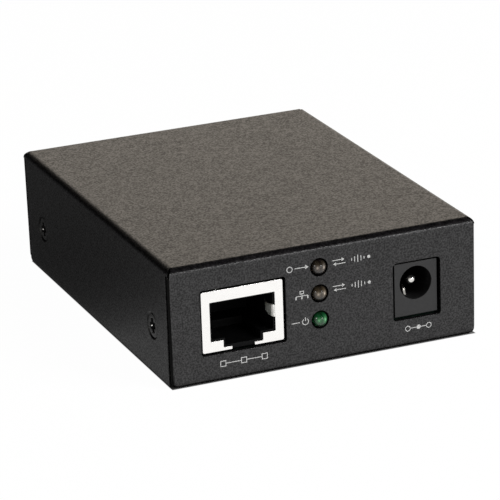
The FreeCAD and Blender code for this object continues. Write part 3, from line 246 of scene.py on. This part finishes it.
def lens_material(name, tones, centre):
    """A lens with a soft painted highlight at each side of its axis; the tones go from these painted
    highlights out to the rim, which is darkened as painted shade.
    """
    highlight_aside, highlight_above, flattening = 0.62 * MM, 0.15 * MM, 0.72
    tone_places = (0.00, 0.17, 0.40, 0.66)
    material, tree = new_material(name)
    shader = add(tree, "ShaderNodeBsdfPrincipled", Roughness=0.20, Coat_Weight=0.3, Coat_Roughness=0.10)
    spot = split(tree, add(tree, "ShaderNodeTexCoord").outputs["Object"])
    aside = combine(tree, "ABSOLUTE", combine(tree, "SUBTRACT", spot["X"], centre.x))
    upright = combine(tree, "SUBTRACT", spot["Z"], centre.z + highlight_above)
    flat = add(tree, "ShaderNodeCombineXYZ")
    tree.links.new(combine(tree, "SUBTRACT", aside, highlight_aside), flat.inputs["X"])
    tree.links.new(combine(tree, "MULTIPLY", upright, flattening), flat.inputs["Z"])
    reach = add(tree, "ShaderNodeVectorMath", operation="LENGTH")
    tree.links.new(flat.outputs["Vector"], reach.inputs[0])
    share = rescaled(tree, reach.outputs["Value"], From_Max=LENS_RADIUS * MM)
    uneven = rescaled(tree, noise(tree, 900), To_Min=-0.05, To_Max=0.05)
    tree.links.new(ramp(tree, combine(tree, "ADD", share, uneven), list(zip(tone_places, tones))),
                   shader.inputs["Base Color"])
    connect(tree, shader.outputs["BSDF"])
    return material


# each lens's tones, from its painted highlights through its own colour to a rim darkened as painted shade
LAMP_TONES = {
    "lamp_lower": [(0.090, 0.300, 0.130), (0.010, 0.085, 0.024), (0.004, 0.040, 0.012),
                   (0.001, 0.010, 0.003)],
    "lamp_middle": [(0.300, 0.255, 0.200), (0.060, 0.046, 0.030), (0.024, 0.018, 0.011),
                    (0.004, 0.003, 0.002)],
    "lamp_upper": [(0.240, 0.205, 0.170), (0.038, 0.030, 0.022), (0.015, 0.012, 0.008),
                   (0.003, 0.002, 0.002)],
}
lens = {node: lens_material(node + "_lens", tones, box_middle(node)) for node, tones in LAMP_TONES.items()}

finishes = {
    "case_paint": paint, "black_zinc": screw_black, "plated_steel": steel, "tin_plate": tin,
    "black_plastic": black_plastic, "gold_contact": gold, "nickel_pin": pin_chrome,
    "circuit_board": board_green, "green_lens": lens["lamp_lower"], "clear_lens": lens["lamp_upper"],
    "black_resin": resin, "grey_ferrite": ferrite, "can_aluminium": aluminium, "tan_ceramic": ceramic,
}
for node, slot in slots.items():
    nodes[node].data.materials.clear()
    nodes[node].data.materials.append(finishes[slot])


# ---------------------------------------------------------------- piece helpers

def new_object(name, data):
    """An object of the scene."""
    thing = bpy.data.objects.new(name, data)
    bpy.context.scene.collection.objects.link(thing)
    return thing


def keep(name, mesh, finish, replaced=()):
    """Make a finished mesh a piece of the object; its faces keep their places in the list of finishes."""
    thing = new_object(name, mesh)
    places = [polygon.material_index for polygon in mesh.polygons]
    mesh.materials.clear()
    for material in finish:
        mesh.materials.append(material)
    for polygon, place in zip(mesh.polygons, places):
        polygon.material_index = place
    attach(thing, "root")
    if replaced:
        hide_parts(*replaced)
    return thing


def mesh_of(name, form):
    """The form as a mesh; the form is freed."""
    mesh = bpy.data.meshes.new(name)
    form.to_mesh(mesh)
    form.free()
    return mesh


def shade_smooth(mesh):
    """Give every face smooth shading."""
    for polygon in mesh.polygons:
        polygon.use_smooth = True


def modified(name, mesh, stack):
    """A new mesh, as a stack of modifiers leaves the given one; each is a type and its settings."""
    thing = new_object(name, mesh)
    for kind, settings in stack:
        modifier = thing.modifiers.new(kind.lower(), kind)
        for key, value in settings.items():
            setattr(modifier, key, value)
    bpy.context.view_layer.update()
    shaped = bpy.data.meshes.new_from_object(thing.evaluated_get(bpy.context.evaluated_depsgraph_get()))
    shaped.name = name
    bpy.data.objects.remove(thing)
    return shaped


def bevelled(name, mesh, width, segments=3):
    """The mesh with its sharp edges rounded and its normals weighted by face."""
    shade_smooth(mesh)
    return modified(name, mesh, [
        ("BEVEL", {"width": width, "segments": segments, "limit_method": "ANGLE",
                   "angle_limit": SHARP_ANGLE, "use_clamp_overlap": False, "miter_outer": "MITER_ARC"}),
        ("WEIGHTED_NORMAL", {"keep_sharp": True, "weight": 80})])


def welded(node, joined=True):
    """A clean copy of a CAD node's shape: its points are welded, and its flat faces joined if asked."""
    form = bmesh.new()
    form.from_mesh(nodes[node].data)
    bmesh.ops.remove_doubles(form, verts=form.verts, dist=0.002 * MM)
    if joined:
        bmesh.ops.dissolve_limit(form, angle_limit=FLAT_ANGLE, verts=form.verts, edges=form.edges)
    return mesh_of(node + "_form", form)


def dressed(name, node, width, finish):
    """A piece that follows a CAD node with rounded edges."""
    return keep(name, bevelled(name, welded(node), width * MM), finish, (node,))


def softened_edges(mesh, wanted, offset, clamp=True):
    """Round the edges that pass the test by the given millimetres, ahead of the general softening."""
    form = bmesh.new()
    form.from_mesh(mesh)
    chosen = [edge for edge in form.edges if wanted(*(vertex.co for vertex in edge.verts))]
    bmesh.ops.bevel(form, geom=chosen, offset=offset * MM, segments=4, profile=0.5, affect="EDGES",
                    clamp_overlap=clamp)
    form.to_mesh(mesh)
    form.free()


def ribbon(form, rows):
    """Faces between rows of two vertices each."""
    for first, second in zip(rows, rows[1:]):
        form.faces.new((first[0], first[1], second[1], second[0]))


def prism(form, one, other):
    """A closed form between two rings of as many vertices each."""
    form.faces.new(one)
    form.faces.new(other[::-1])
    for i in range(len(one)):
        j = (i + 1) % len(one)
        form.faces.new((one[j], one[i], other[i], other[j]))


def lathe(profile, segments=56):
    """A closed form of revolution about +Y, from (radius, y) points in millimetres."""
    form = bmesh.new()
    rings = []
    for radius, along in profile:
        if radius == 0:
            rings.append([form.verts.new((0, along * MM, 0))])
            continue
        ring = []
        for step in range(segments):
            turn = 2 * math.pi * step / segments
            ring.append(form.verts.new((radius * MM * math.sin(turn), along * MM,
                                        radius * MM * math.cos(turn))))
        rings.append(ring)
    for first, second in zip(rings, rings[1:]):
        for step in range(segments):
            after = (step + 1) % segments
            loop = []
            for ring, place in ((first, step), (first, after), (second, after), (second, step)):
                vertex = ring[place % len(ring)]
                if vertex not in loop:
                    loop.append(vertex)
            if len(loop) > 2:
                form.faces.new(loop)
    bmesh.ops.recalc_face_normals(form, faces=form.faces)
    for face in form.faces:
        face.smooth = True
    return form


# ---------------------------------------------------------------- pieces

def make_case():
    """The folded cover: its end flanges stand in a little from the side walls, with rounded upper and
    lower corners and a soft lower edge, and every sheet edge is softened by its paint."""
    mesh = welded("top_cover")
    low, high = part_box("top_cover")
    bend, inset, sheet = 1.3 * MM, 0.3 * MM, 0.8 * MM
    flange_side, bend_start = high.x - inset, high.z - bend
    wall_end, drawn_back = high.y - sheet - 0.4 * MM, 0.2 * MM
    corner, corner_side = 1.0 * MM, high.x - 0.1 * MM
    front_reach, rear_reach = 0.8 * MM, 1.5 * MM
    for vertex in mesh.vertices:
        x, y, z = abs(vertex.co.x), abs(vertex.co.y), vertex.co.z
        # the end of a side wall is drawn back from the flange, to open the seam
        if abs(y - wall_end) < NEAR and x > high.x - sheet - NEAR and z < bend_start + NEAR:
            vertex.co.y = math.copysign(wall_end - drawn_back, vertex.co.y)
        # the round lower corner of a flange is stretched across to its reach
        if y > high.y - sheet - NEAR and z < low.z + corner + NEAR and x > corner_side - corner - NEAR:
            side = flange_side if y > high.y - NEAR else corner_side
            reach = rear_reach if vertex.co.y > 0 else front_reach
            vertex.co.x = math.copysign(side - reach * (corner_side - x) / corner, vertex.co.x)
            continue
        # all else of a flange stays within its side and its round upper corner
        if y - (high.y - bend) <= x - (high.x - bend) + NEAR or x < flange_side - bend:
            continue
        rise = min(max((z - bend_start) / bend, 0.0), 1.0)
        limit = flange_side - bend + bend * math.sqrt(1.0 - rise * rise)
        if x > limit:
            vertex.co.x = math.copysign(limit, vertex.co.x)

    def at_foot(spot):
        """Whether a point lies on the outer face of a flange, at its foot."""
        return abs(abs(spot.y) - high.y) < NEAR and spot.z < low.z + 1.6 * MM

    softened_edges(mesh, lambda one, other: at_foot(one) and at_foot(other), 0.40)
    mesh = bevelled("case_cover", mesh, 0.10 * MM)
    for vertex in mesh.vertices:
        vertex.co = [min(max(value, least), most) for value, least, most in zip(vertex.co, low, high)]
    cover = keep("case_cover", mesh, [paint, cut_edge_shade], ("top_cover",))
    # the side edges of the flanges take a near-black, dull finish: painted shade that darkens the seams
    sideways = 0.55
    for polygon in cover.data.polygons:
        x, y = abs(polygon.center.x), abs(polygon.center.y)
        if abs(polygon.normal.x) > sideways and y > wall_end + 0.1 * MM and x > high.x - bend - inset:
            polygon.material_index = 1
    make_corner_tabs(high, sheet)


def make_corner_tabs(high, sheet):
    """Folded tabs behind the upper seams of the cover's corners, clear of the tray's walls, in the
    near-black finish that paints shade into the seams.
    """
    plan = [(0, 0), (0, 1.5), (0.25, 1.9), (0.55, 1.5), (0.6, 0)]
    outer, back = high.x - 1.1 * MM, high.y - sheet
    foot_level, head_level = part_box("base_tray")[1].z + 0.3 * MM, high.z - sheet
    form = bmesh.new()
    for along, across in ((-1, -1), (-1, 1), (1, -1), (1, 1)):
        corners = [(across * (outer - inward * MM), along * (back - behind * MM)) for inward, behind in plan]
        foot = [form.verts.new((x, y, foot_level)) for x, y in corners]
        head = [form.verts.new((x, y, head_level)) for x, y in corners]
        form.faces.new(foot)
        form.faces.new(head)
        for i in range(len(plan)):
            j = (i + 1) % len(plan)
            form.faces.new((foot[i], foot[j], head[j], head[i]))
    bmesh.ops.recalc_face_normals(form, faces=form.faces)
    mesh = bevelled("corner_tabs", mesh_of("tab_forms", form), 0.06 * MM, 2)
    keep("corner_tabs", mesh, [cut_edge_shade])


def make_ports():
    """The network jack, the power socket and the transceiver cage with their moulded and folded edges."""
    mesh = welded("network_jack_shield")
    low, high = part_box("network_jack_shield")

    def at_corner(spot):
        """Whether a point lies on one of the shield's long corner edges."""
        return (min(spot.x - low.x, high.x - spot.x) < NEAR
                and min(spot.z - low.z, high.z - spot.z) < NEAR)

    softened_edges(mesh, lambda one, other: at_corner(one) and at_corner(other)
                   and (one - other).normalized().y ** 2 > 0.99, 0.35, clamp=False)
    keep("jack_shell", bevelled("jack_shell", mesh, 0.09 * MM), [tin],
         ("network_jack_shield",))
    dressed("jack_moulding", "network_jack_body", 0.10, [black_plastic])
    make_fingers()
    keep("cage_shell", bevelled("cage_shell", welded("transceiver_cage", joined=False), 0.06 * MM, 2),
         [tin], ("transceiver_cage",))
    socket = dressed("socket_moulding", "power_socket_body", 0.12, [socket_plastic, black_plastic])
    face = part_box("power_socket_body")[0].y
    axis = box_middle("power_socket_pin")
    # the faces inside the bore take the near-black plastic finish: painted shade in the bore
    bore_radius, lip = 3.13 * MM, 0.2 * MM
    for polygon in socket.data.polygons:
        away = polygon.center - axis
        if math.hypot(away.x, away.z) < bore_radius and polygon.center.y > face + lip:
            polygon.material_index = 1


# each side spring of the jack from its edge inward: outward from the mouth and behind it, in millimetres
FINGER_PLANS = {
    -1: [(0.07, 0.14), (0.01, 0.30), (-0.13, 0.62), (-0.30, 1.00), (-0.51, 1.6), (-0.60, 2.4),
         (-0.45, 3.3), (-0.25, 3.7)],
    1: [(0.00, 0.12), (-0.16, 0.22), (-0.34, 0.50), (-0.44, 1.00), (-0.58, 1.6), (-0.62, 2.4),
        (-0.50, 3.3), (-0.30, 3.7)],
}


def make_fingers():
    """The shield's two side springs: each curls in round the mouth's edge and leans into the cavity; the
    front of each is painted as a highlight and the rest as shade.
    """
    low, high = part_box("network_jack_shield")
    front, middle = low.y, (low.x + high.x) / 2
    board_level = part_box("circuit_board")[1].z
    half_mouth, foot, head = 6.26, 4.60, 6.90
    taper, taper_start = 0.18, 1.0
    form = bmesh.new()
    for side, plan in FINGER_PLANS.items():
        rows = []
        for outward, behind in plan:
            x = middle + side * (half_mouth + outward) * MM
            y = front + behind * MM
            pinch = taper * max(0.0, behind - taper_start)
            rows.append([form.verts.new((x, y, board_level + (foot + pinch) * MM)),
                         form.verts.new((x, y, board_level + (head - pinch) * MM))])
        ribbon(form, rows)
    bmesh.ops.recalc_face_normals(form, faces=form.faces)
    shaped = modified("jack_fingers", mesh_of("finger_strips", form), [
        ("SUBSURF", {"levels": 2}), ("SOLIDIFY", {"thickness": 0.10 * MM, "offset": 0.0})])
    shade_smooth(shaped)
    piece = keep("jack_fingers", shaped, [tin_painted_highlight, tin_painted_shade])
    # the front of each spring takes the pale tin as painted highlight, the part behind it the dull dark tin
    # as painted shade
    highlight_depth = 0.80 * MM
    for polygon in piece.data.polygons:
        polygon.material_index = int(polygon.center.y > front + highlight_depth)


def make_lamps():
    """Three domed lenses, each a turned form with its collar inside the panel."""
    steps = 12
    for node in LAMP_TONES:
        low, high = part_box(node)
        collar, length = (high.x - low.x) / 2 / MM, (high.y - low.y) / MM
        profile = [(0, 0)]
        for step in range(1, steps + 1):
            turn = math.pi / 2 * step / steps
            profile.append((LENS_RADIUS * math.sin(turn), LENS_RADIUS * (1 - math.cos(turn))))
        profile += [(LENS_RADIUS, length - 1.12), (LENS_RADIUS + 0.12, length - 1.0),
                    (collar - 0.1, length - 1.0), (collar, length - 0.9), (collar, length - 0.1),
                    (collar - 0.1, length), (0, length)]
        form = lathe(profile)
        middle = box_middle(node)
        bmesh.ops.translate(form, verts=form.verts, vec=(middle.x, low.y, middle.z))
        keep(node + "_dome", mesh_of(node + "_dome", form), [lens[node]], (node,))


def cross_cutter(depth, span, width):
    """A tapering four-armed driver tip that points along +Y from the origin, in millimetres."""
    form = bmesh.new()
    for turn in (0, math.pi / 2):
        corners = []
        for along, share in ((-0.3, 1.06), (depth, 0.45)):
            for x, z in ((-1, -1), (1, -1), (1, 1), (-1, 1)):
                wide = x * span / 2 * share
                thick = z * width / 2 * (0.6 + 0.4 * share)
                corners.append(form.verts.new((
                    (wide * math.cos(turn) - thick * math.sin(turn)) * MM, along * MM,
                    (wide * math.sin(turn) + thick * math.cos(turn)) * MM)))
        prism(form, corners[:4], corners[4:])
    bmesh.ops.recalc_face_normals(form, faces=form.faces)
    return mesh_of("driver_tip", form)


def carve(mesh, cutter):
    """The mesh less the cutter, by the exact boolean."""
    tool = new_object("tool", cutter)
    shaped = modified("carved", mesh, [
        ("BOOLEAN", {"operation": "DIFFERENCE", "object": tool, "use_self": True})])
    bpy.data.objects.remove(tool)
    return shaped


def add_copy(form, mesh, place):
    """Add a copy of the mesh to the form, at its place."""
    placed = mesh.copy()
    placed.transform(place)
    form.from_mesh(placed)


def make_screws():
    """Countersunk cross-head screws in the sides, with a tapering recess painted near black as shade, a
    softened rim and a small chip of bright metal beside the recess."""
    low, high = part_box("cover_screws")
    ends = {}
    for vertex in nodes["cover_screws"].data.vertices:
        ends.setdefault((vertex.co.x > 0, vertex.co.y > 0), []).append(vertex.co.y)
    head = lathe([(0, 0.02), (1.7, 0.02), (2.02, 0.05), (2.22, 0.13), (2.30, 0.26), (2.28, 0.36),
                  (1.5, 1.10), (1.44, 1.2), (1.44, 4.7), (1.2, 5.0), (0, 5.0)], 48)
    carved = carve(mesh_of("screw_blank", head), cross_cutter(1.1, 3.0, 1.3))
    screw = bevelled("cover_screw", carved, 0.05 * MM, 2)
    # the recess faces take the near-black plastic finish: painted shade in the recess
    recess_radius, recess_top = 1.6 * MM, 0.10 * MM
    for polygon in screw.polygons:
        from_axis = math.hypot(polygon.center.x, polygon.center.z)
        polygon.material_index = int(from_axis < recess_radius and polygon.center.y > recess_top)
    chip_profile = [(0, 0), (0.12, 0.01), (0.18, 0.05), (0.20, 0.12), (0.14, 0.45), (0, 0.5)]
    chip = mesh_of("worn_chip", lathe(chip_profile, 20))
    for polygon in chip.polygons:
        polygon.material_index = 2
    # where the chip lies from the middle of a screw's head, and how far the right and left recesses turn
    chip_in, chip_behind, chip_below = 0.22 * MM, 0.95 * MM, 0.28 * MM
    tilts = {True: math.radians(31), False: math.radians(-14)}
    middle_z = (low.z + high.z) / 2
    everything = bmesh.new()
    for (right, _), spread in sorted(ends.items()):
        way = 1 if right else -1
        face = high.x if right else low.x
        middle_y = (min(spread) + max(spread)) / 2
        add_copy(everything, screw, Matrix.Translation((face, middle_y, middle_z))
                 @ Matrix.Rotation(math.radians(90 * way), 4, "Z") @ Matrix.Rotation(tilts[right], 4, "Y"))
        outward = Vector((0.659 * way, -0.649, 0.380))
        spot = (face - way * chip_in, middle_y + chip_behind, middle_z - chip_below)
        add_copy(everything, chip,
                 Matrix.Translation(spot) @ (-outward).to_track_quat("Y", "Z").to_matrix().to_4x4())
    mesh = mesh_of("side_screws", everything)
    shade_smooth(mesh)
    keep("side_screws", mesh, [screw_black, black_plastic, tin], ("cover_screws",))


def make_leaf():
    """The power socket's sprung side leaf: a narrow strip that leans in and curls at its foot."""
    width, sheet, rounding, aside = 0.42 * MM, 0.16 * MM, 0.04 * MM, 0.12 * MM
    # right of, above and behind the middle of the leaf's front, in millimetres
    path = [(-0.16, 1.45, 3.2), (-0.14, 1.10, 0.9), (-0.10, 0.55, 0.25), (-0.04, -0.10, 0.10),
            (0.06, -0.66, 0.12), (0.32, -0.96, 0.20), (0.68, -0.96, 0.60)]
    low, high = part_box("power_socket_leaf")
    middle = Vector(((low.x + high.x) / 2 - aside, low.y, (low.z + high.z) / 2))
    form = bmesh.new()
    rows = []
    for right, up, back in path:
        spot = middle + Vector((right * MM, back * MM, up * MM))
        rows.append([form.verts.new(spot + Vector((-width / 2, 0, 0))),
                     form.verts.new(spot + Vector((width / 2, 0, 0)))])
    ribbon(form, rows)
    shaped = modified("socket_leaf", mesh_of("leaf_strip", form), [
        ("SUBSURF", {"levels": 2}), ("SOLIDIFY", {"thickness": sheet, "offset": 0.0}),
        ("BEVEL", {"width": rounding, "segments": 2})])
    shade_smooth(shaped)
    keep("socket_leaf", shaped, [leaf_steel], ("power_socket_leaf",))


# ---------------------------------------------------------------- printed marks

# how far the ink stands out of the panel and how far it goes in, in millimetres
INK_OUT, INK_IN = 0.018, 0.004


class Marks:
    """Flat generic marks on the front panel, drawn in thin raised ink. Their places are in millimetres
    from the panel's left and from the ground."""

    def __init__(self):
        """An empty form at the left edge and the face of the panel."""
        self.form = bmesh.new()
        low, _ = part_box("top_cover")
        self.left, self.face = low.x, low.y

    def polygon(self, points):
        """A filled outline, as a thin closed plate through the panel's face."""
        prism(self.form, *([self.form.verts.new((self.left + x * MM, self.face + depth * MM, z * MM))
                            for x, z in points] for depth in (-INK_OUT, INK_IN)))

    def bar(self, x0, z0, x1, z1, width):
        """A straight stroke."""
        along = Vector((x1 - x0, z1 - z0)).normalized() * (width / 2)
        side = Vector((-along.y, along.x))
        self.polygon([(x0 + side.x, z0 + side.y), (x0 - side.x, z0 - side.y),
                      (x1 - side.x, z1 - side.y), (x1 + side.x, z1 + side.y)])

    def frame(self, x0, z0, x1, z1, width):
        """A rectangle drawn by its outline."""
        half = width / 2
        self.bar(x0 - half, z0, x1 + half, z0, width)
        self.bar(x0 - half, z1, x1 + half, z1, width)
        self.bar(x0, z0 + half, x0, z1 - half, width)
        self.bar(x1, z0 + half, x1, z1 - half, width)

    def ring(self, x, z, radius, width, start=0.0, stop=360.0):
        """A ring or an arc."""
        steps = max(6, int(abs(stop - start) / 12))
        turns = [math.radians(start + (stop - start) * i / steps) for i in range(steps + 1)]
        outer, inner = radius + width / 2, radius - width / 2
        for a, b in zip(turns, turns[1:]):
            self.polygon([(x + reach * math.cos(turn), z + reach * math.sin(turn))
                          for reach, turn in ((outer, a), (outer, b), (inner, b), (inner, a))])

    def disc(self, x, z, radius, sides=15):
        """A filled dot."""
        turns = [math.radians(i * 360 / sides) for i in range(sides)]
        self.polygon([(x + radius * math.cos(turn), z + radius * math.sin(turn)) for turn in turns])

    def arrow(self, x0, x1, z, width, head):
        """A level arrow from x0 to x1."""
        way = 1 if x1 > x0 else -1
        self.bar(x0, z, x1 - way * head, z, width)
        barb, half = x1 - way * head * 1.2, head * 0.75
        self.polygon([(x1, z), (barb, z + half), (barb, z - half)])

    def finish(self):
        """Keep the marks as one piece."""
        bmesh.ops.recalc_face_normals(self.form, faces=self.form.faces)
        keep("panel_marks", mesh_of("panel_marks", self.form), [ink])


def make_marks():
    """Plain pictograms at the places of the panel's printing."""
    marks = Marks()
    stroke, thin, wide = 0.15, 0.14, 0.24
    # a line with three stations, below the network jack
    for x in (9.9, 13.9, 17.9):
        marks.frame(x - 0.5, 2.75, x + 0.5, 3.75, stroke)
    marks.bar(10.5, 3.25, 13.3, 3.25, stroke)
    marks.bar(14.5, 3.25, 17.3, 3.25, stroke)
    # a light path in a ring, left of the upper lamp
    marks.ring(23.2, 18.7, 0.52, stroke)
    marks.arrow(24.2, 26.9, 18.7, stroke, 0.55)
    # a small tree of stations, left of the middle lamp
    marks.frame(25.1, 13.75, 25.8, 14.25, thin)
    marks.bar(25.45, 13.65, 25.45, 13.35, thin)
    marks.bar(24.3, 13.35, 26.6, 13.35, thin)
    for x in (24.3, 25.45, 26.6):
        marks.bar(x, 13.3, x, 12.75, wide)
    # a supply ring with its bar, left of the lower lamp
    marks.ring(26.0, 8.35, 0.58, stroke, 125, 415)
    marks.bar(26.0, 8.45, 26.0, 9.15, stroke)
    marks.bar(23.3, 8.35, 24.9, 8.35, stroke)
    # a pair of arrows, a run of pulses and a dot, right of the two upper lamps
    for level in (18.6, 13.7):
        marks.arrow(31.5, 33.9, level + 0.36, thin, 0.45)
        marks.arrow(34.1, 31.7, level - 0.36, thin, 0.45)
        for i, tall in enumerate((0.5, 1.0, 1.35, 1.0, 0.5)):
            x = 35.3 + 0.62 * i
            marks.bar(x, level - tall / 2, x, level + tall / 2, stroke)
        marks.disc(38.7, level, 0.3)
    # centre contact between two rings, below the power socket
    marks.ring(46.2, 3.35, 0.48, thin)
    marks.bar(46.7, 3.35, 47.8, 3.35, thin)
    marks.disc(48.35, 3.35, 0.42)
    marks.bar(48.8, 3.35, 49.9, 3.35, thin)
    marks.ring(50.4, 3.35, 0.48, thin)
    marks.finish()


make_case()
make_ports()
make_lamps()
make_screws()
make_leaf()
make_marks()


# ---------------------------------------------------------------- stage

# the share of light that the floor left of the object gives to reflections, between two places in Y
SHADE_ENDS = (-0.060, 0.040)
SHADE = [(0.0, 1.0), (0.20, 0.36), (0.48, 0.34), (0.56, 0.23), (0.62, 0.165), (0.72, 0.108),
         (0.82, 0.087), (1.0, 0.077)]
# where that shade starts and is full: in X from the left wall, in X from its outer border, and in Y from
# where it has no outer border
SHADE_WALL = (-0.0301, -0.0305)
SHADE_OUTER = (-0.090, -0.065)
SHADE_REAR = (0.035, 0.055)


def make_floor():
    """A plain pale floor: white to the camera but for the object's soft shadow and a painted dark shadow
    under the object's foot, and for reflections white in front, darker in the painted shade beside the left
    rear and in a painted contact shadow along the foot."""
    half = 3.0
    mesh = bpy.data.meshes.new("floor")
    mesh.from_pydata([(-half, -half, 0), (half, -half, 0), (half, half, 0), (-half, half, 0)], [],
                     [(0, 1, 2, 3)])
    floor = new_object("floor", mesh)
    floor.location.z = -0.02 * MM
    material, tree = new_material("floor_paper")
    mesh.materials.append(material)
    spot = split(tree, add(tree, "ShaderNodeTexCoord").outputs["Object"])
    aside, astern = combine(tree, "ABSOLUTE", spot["X"]), combine(tree, "ABSOLUTE", spot["Y"])

    def outside(across, along):
        """0 under the object and 1 beyond its foot, with a smooth step between the two distances across
        its sides and the two along past its ends, in millimetres."""
        ways = [masked(tree, away, edge + start * MM, edge + stop * MM)
                for away, edge, (start, stop) in ((aside, -cad_lo.x, across), (astern, cad_hi.y, along))]
        return combine(tree, "MAXIMUM", *ways)

    # the foot's painted dark shadow, with its rear corners cut off like the object's
    diagonal = cad_hi.x + cad_hi.y
    rear_corner = masked(tree, combine(tree, "ADD", aside, spot["Y"]), diagonal - 1.7 * MM,
                         diagonal - 1.5 * MM)
    clear = combine(tree, "MAXIMUM", outside((-0.15, 0.05), (-0.15, 0.05)), rear_corner)
    # the paper itself, darkened under the foot as painted shadow, which takes the shadow and shows a little
    # of it to the camera
    foot_shadow_share, camera_share, mirror_share = 0.15, 0.985, 0.97
    paper = ramp(tree, noise(tree, 40), [(0.0, (0.80, 0.80, 0.80)), (1.0, (0.84, 0.84, 0.84))])
    painted_foot_shadow = combine(tree, "ADD", combine(tree, "MULTIPLY", clear, 1 - foot_shadow_share), foot_shadow_share)
    diffuse = add(tree, "ShaderNodeBsdfDiffuse")
    tree.links.new(combine(tree, "MULTIPLY", paper, painted_foot_shadow), diffuse.inputs["Color"])
    path = add(tree, "ShaderNodeLightPath").outputs
    direct = combine(tree, "MULTIPLY", path["Is Camera Ray"], camera_share)
    white = add(tree, "ShaderNodeEmission", Color=WHITE, Strength=1.0)
    seen = mixed(tree, combine(tree, "MULTIPLY", direct, clear), diffuse.outputs["BSDF"],
                 white.outputs["Emission"])
    # what reflections see: painted shade beside the left rear, and a painted contact shadow along the foot
    border = combine(tree, "MAXIMUM", masked(tree, spot["X"], *SHADE_OUTER),
                     masked(tree, spot["Y"], *SHADE_REAR))
    place = rescaled(tree, spot["Y"], From_Min=SHADE_ENDS[0], From_Max=SHADE_ENDS[1])
    shaded = ramp(tree, place, [(stop, (share,) * 3) for stop, share in SHADE])
    reach = combine(tree, "MULTIPLY", masked(tree, spot["X"], *SHADE_WALL), border)
    dimness = combine(tree, "MULTIPLY", reach, combine(tree, "SUBTRACT", 1.0, shaded))
    strength = combine(tree, "MULTIPLY", combine(tree, "SUBTRACT", 1.0, dimness),
                       outside((0.05, 0.6), (0.8, 2.0)))
    glow = add(tree, "ShaderNodeEmission", Color=WHITE)
    tree.links.new(strength, glow.inputs["Strength"])
    mirrored = combine(tree, "MULTIPLY", path["Is Glossy Ray"], mirror_share)
    connect(tree, mixed(tree, mirrored, seen, glow.outputs["Emission"]))


# walls of light: heading in degrees (0 in front, 90 at the right), the reach toward it where the wall
# starts and is full, the heights where it ends and is full, and its colours out of and in the light
WALLS = [
    (150, 0.79, 0.88, 0.62, 0.50, (0.006, 0.006, 0.007), (1.16, 1.05, 0.915)),
    (27, 0.45, 0.80, 0.36, 0.10, (0.0, 0.0, 0.0), (1.45, 1.45, 1.47)),
    (-28, 0.55, 0.85, 0.62, 0.44, (0.0, 0.0, 0.0), (0.5, 0.48, 0.45)),
    (90, 0.75, 0.92, 0.50, 0.30, (0.0, 0.0, 0.0), (0.42, 0.40, 0.37)),
    (-90, 0.80, 0.95, 0.50, 0.30, (0.0, 0.0, 0.0), (0.42, 0.40, 0.37)),
]


def make_world():
    """A dark room with a broad warm wall of light at the right rear, paler ones in front and dim ones at
    the sides; the camera sees plain white."""
    world = bpy.data.worlds.new("studio")
    bpy.context.scene.world = world
    world.use_nodes = True
    tree = world.node_tree
    tree.nodes.clear()
    direction = add(tree, "ShaderNodeTexCoord").outputs["Generated"]
    height = split(tree, direction)["Z"]
    room = None
    for heading, edge, full, top, foot, dark, bright in WALLS:
        turn = math.radians(heading)
        toward = add(tree, "ShaderNodeVectorMath", operation="DOT_PRODUCT")
        toward.inputs[1].default_value = (math.sin(turn), -math.cos(turn), 0)
        tree.links.new(direction, toward.inputs[0])
        share = combine(tree, "MULTIPLY", masked(tree, toward.outputs["Value"], edge, full),
                        masked(tree, height, top, foot))
        wall = ramp(tree, share, [(0.0, dark), (1.0, bright)])
        room = wall if room is None else blended(tree, 1.0, room, wall, "ADD")
    path = add(tree, "ShaderNodeLightPath").outputs
    background = add(tree, "ShaderNodeBackground", Strength=1.0)
    tree.links.new(blended(tree, path["Is Camera Ray"], room, WHITE), background.inputs["Color"])
    connect(tree, background.outputs["Background"], "ShaderNodeOutputWorld")


def softbox(name, azimuth, elevation, side, watts, mirrored=True):
    """A square area lamp 1.2 m away, aimed at the middle of the object; azimuth 0 is in front."""
    lamp = bpy.data.lights.new(name, "AREA")
    lamp.shape = "SQUARE"
    lamp.size = side
    lamp.energy = watts
    thing = new_object(name, lamp)
    a, e = math.radians(azimuth), math.radians(elevation)
    away = Vector((math.sin(a) * math.cos(e), -math.cos(a) * math.cos(e), math.sin(e)))
    thing.location = away * 1.2
    thing.visible_glossy = mirrored
    thing.rotation_mode = "QUATERNION"
    thing.rotation_quaternion = away.to_track_quat("Z", "Y")


def make_camera():
    """The camera stands in front of the left front corner, a little above the object."""
    azimuth, elevation, roll = math.radians(-22.167), math.radians(19.701), math.radians(2.027)
    place = Vector((-0.21173, -0.52349, 0.21115))
    right = Vector((math.cos(azimuth), math.sin(azimuth), 0))
    back = Vector((math.sin(azimuth) * math.cos(elevation), -math.cos(azimuth) * math.cos(elevation),
                   math.sin(elevation)))
    up = back.cross(right)
    side = right * math.cos(roll) - up * math.sin(roll)
    top = right * math.sin(roll) + up * math.cos(roll)
    data = bpy.data.cameras.new("camera")
    data.sensor_width = 36.0
    data.lens = 227.34
    data.clip_start, data.clip_end = 0.01, 20.0
    camera = new_object("camera", data)
    camera.matrix_world = Matrix.Translation(place) @ Matrix((side, top, back)).transposed().to_4x4()
    bpy.context.scene.camera = camera


make_floor()
make_world()
make_camera()
softbox("key_light", 42, 36, 0.5, 22.0, mirrored=False)
softbox("right_glint", 25, 22, 0.16, 1.5)
softbox("left_glint", -69, 22, 0.16, 1.1)
bpy.context.scene.view_settings.view_transform = "Standard"
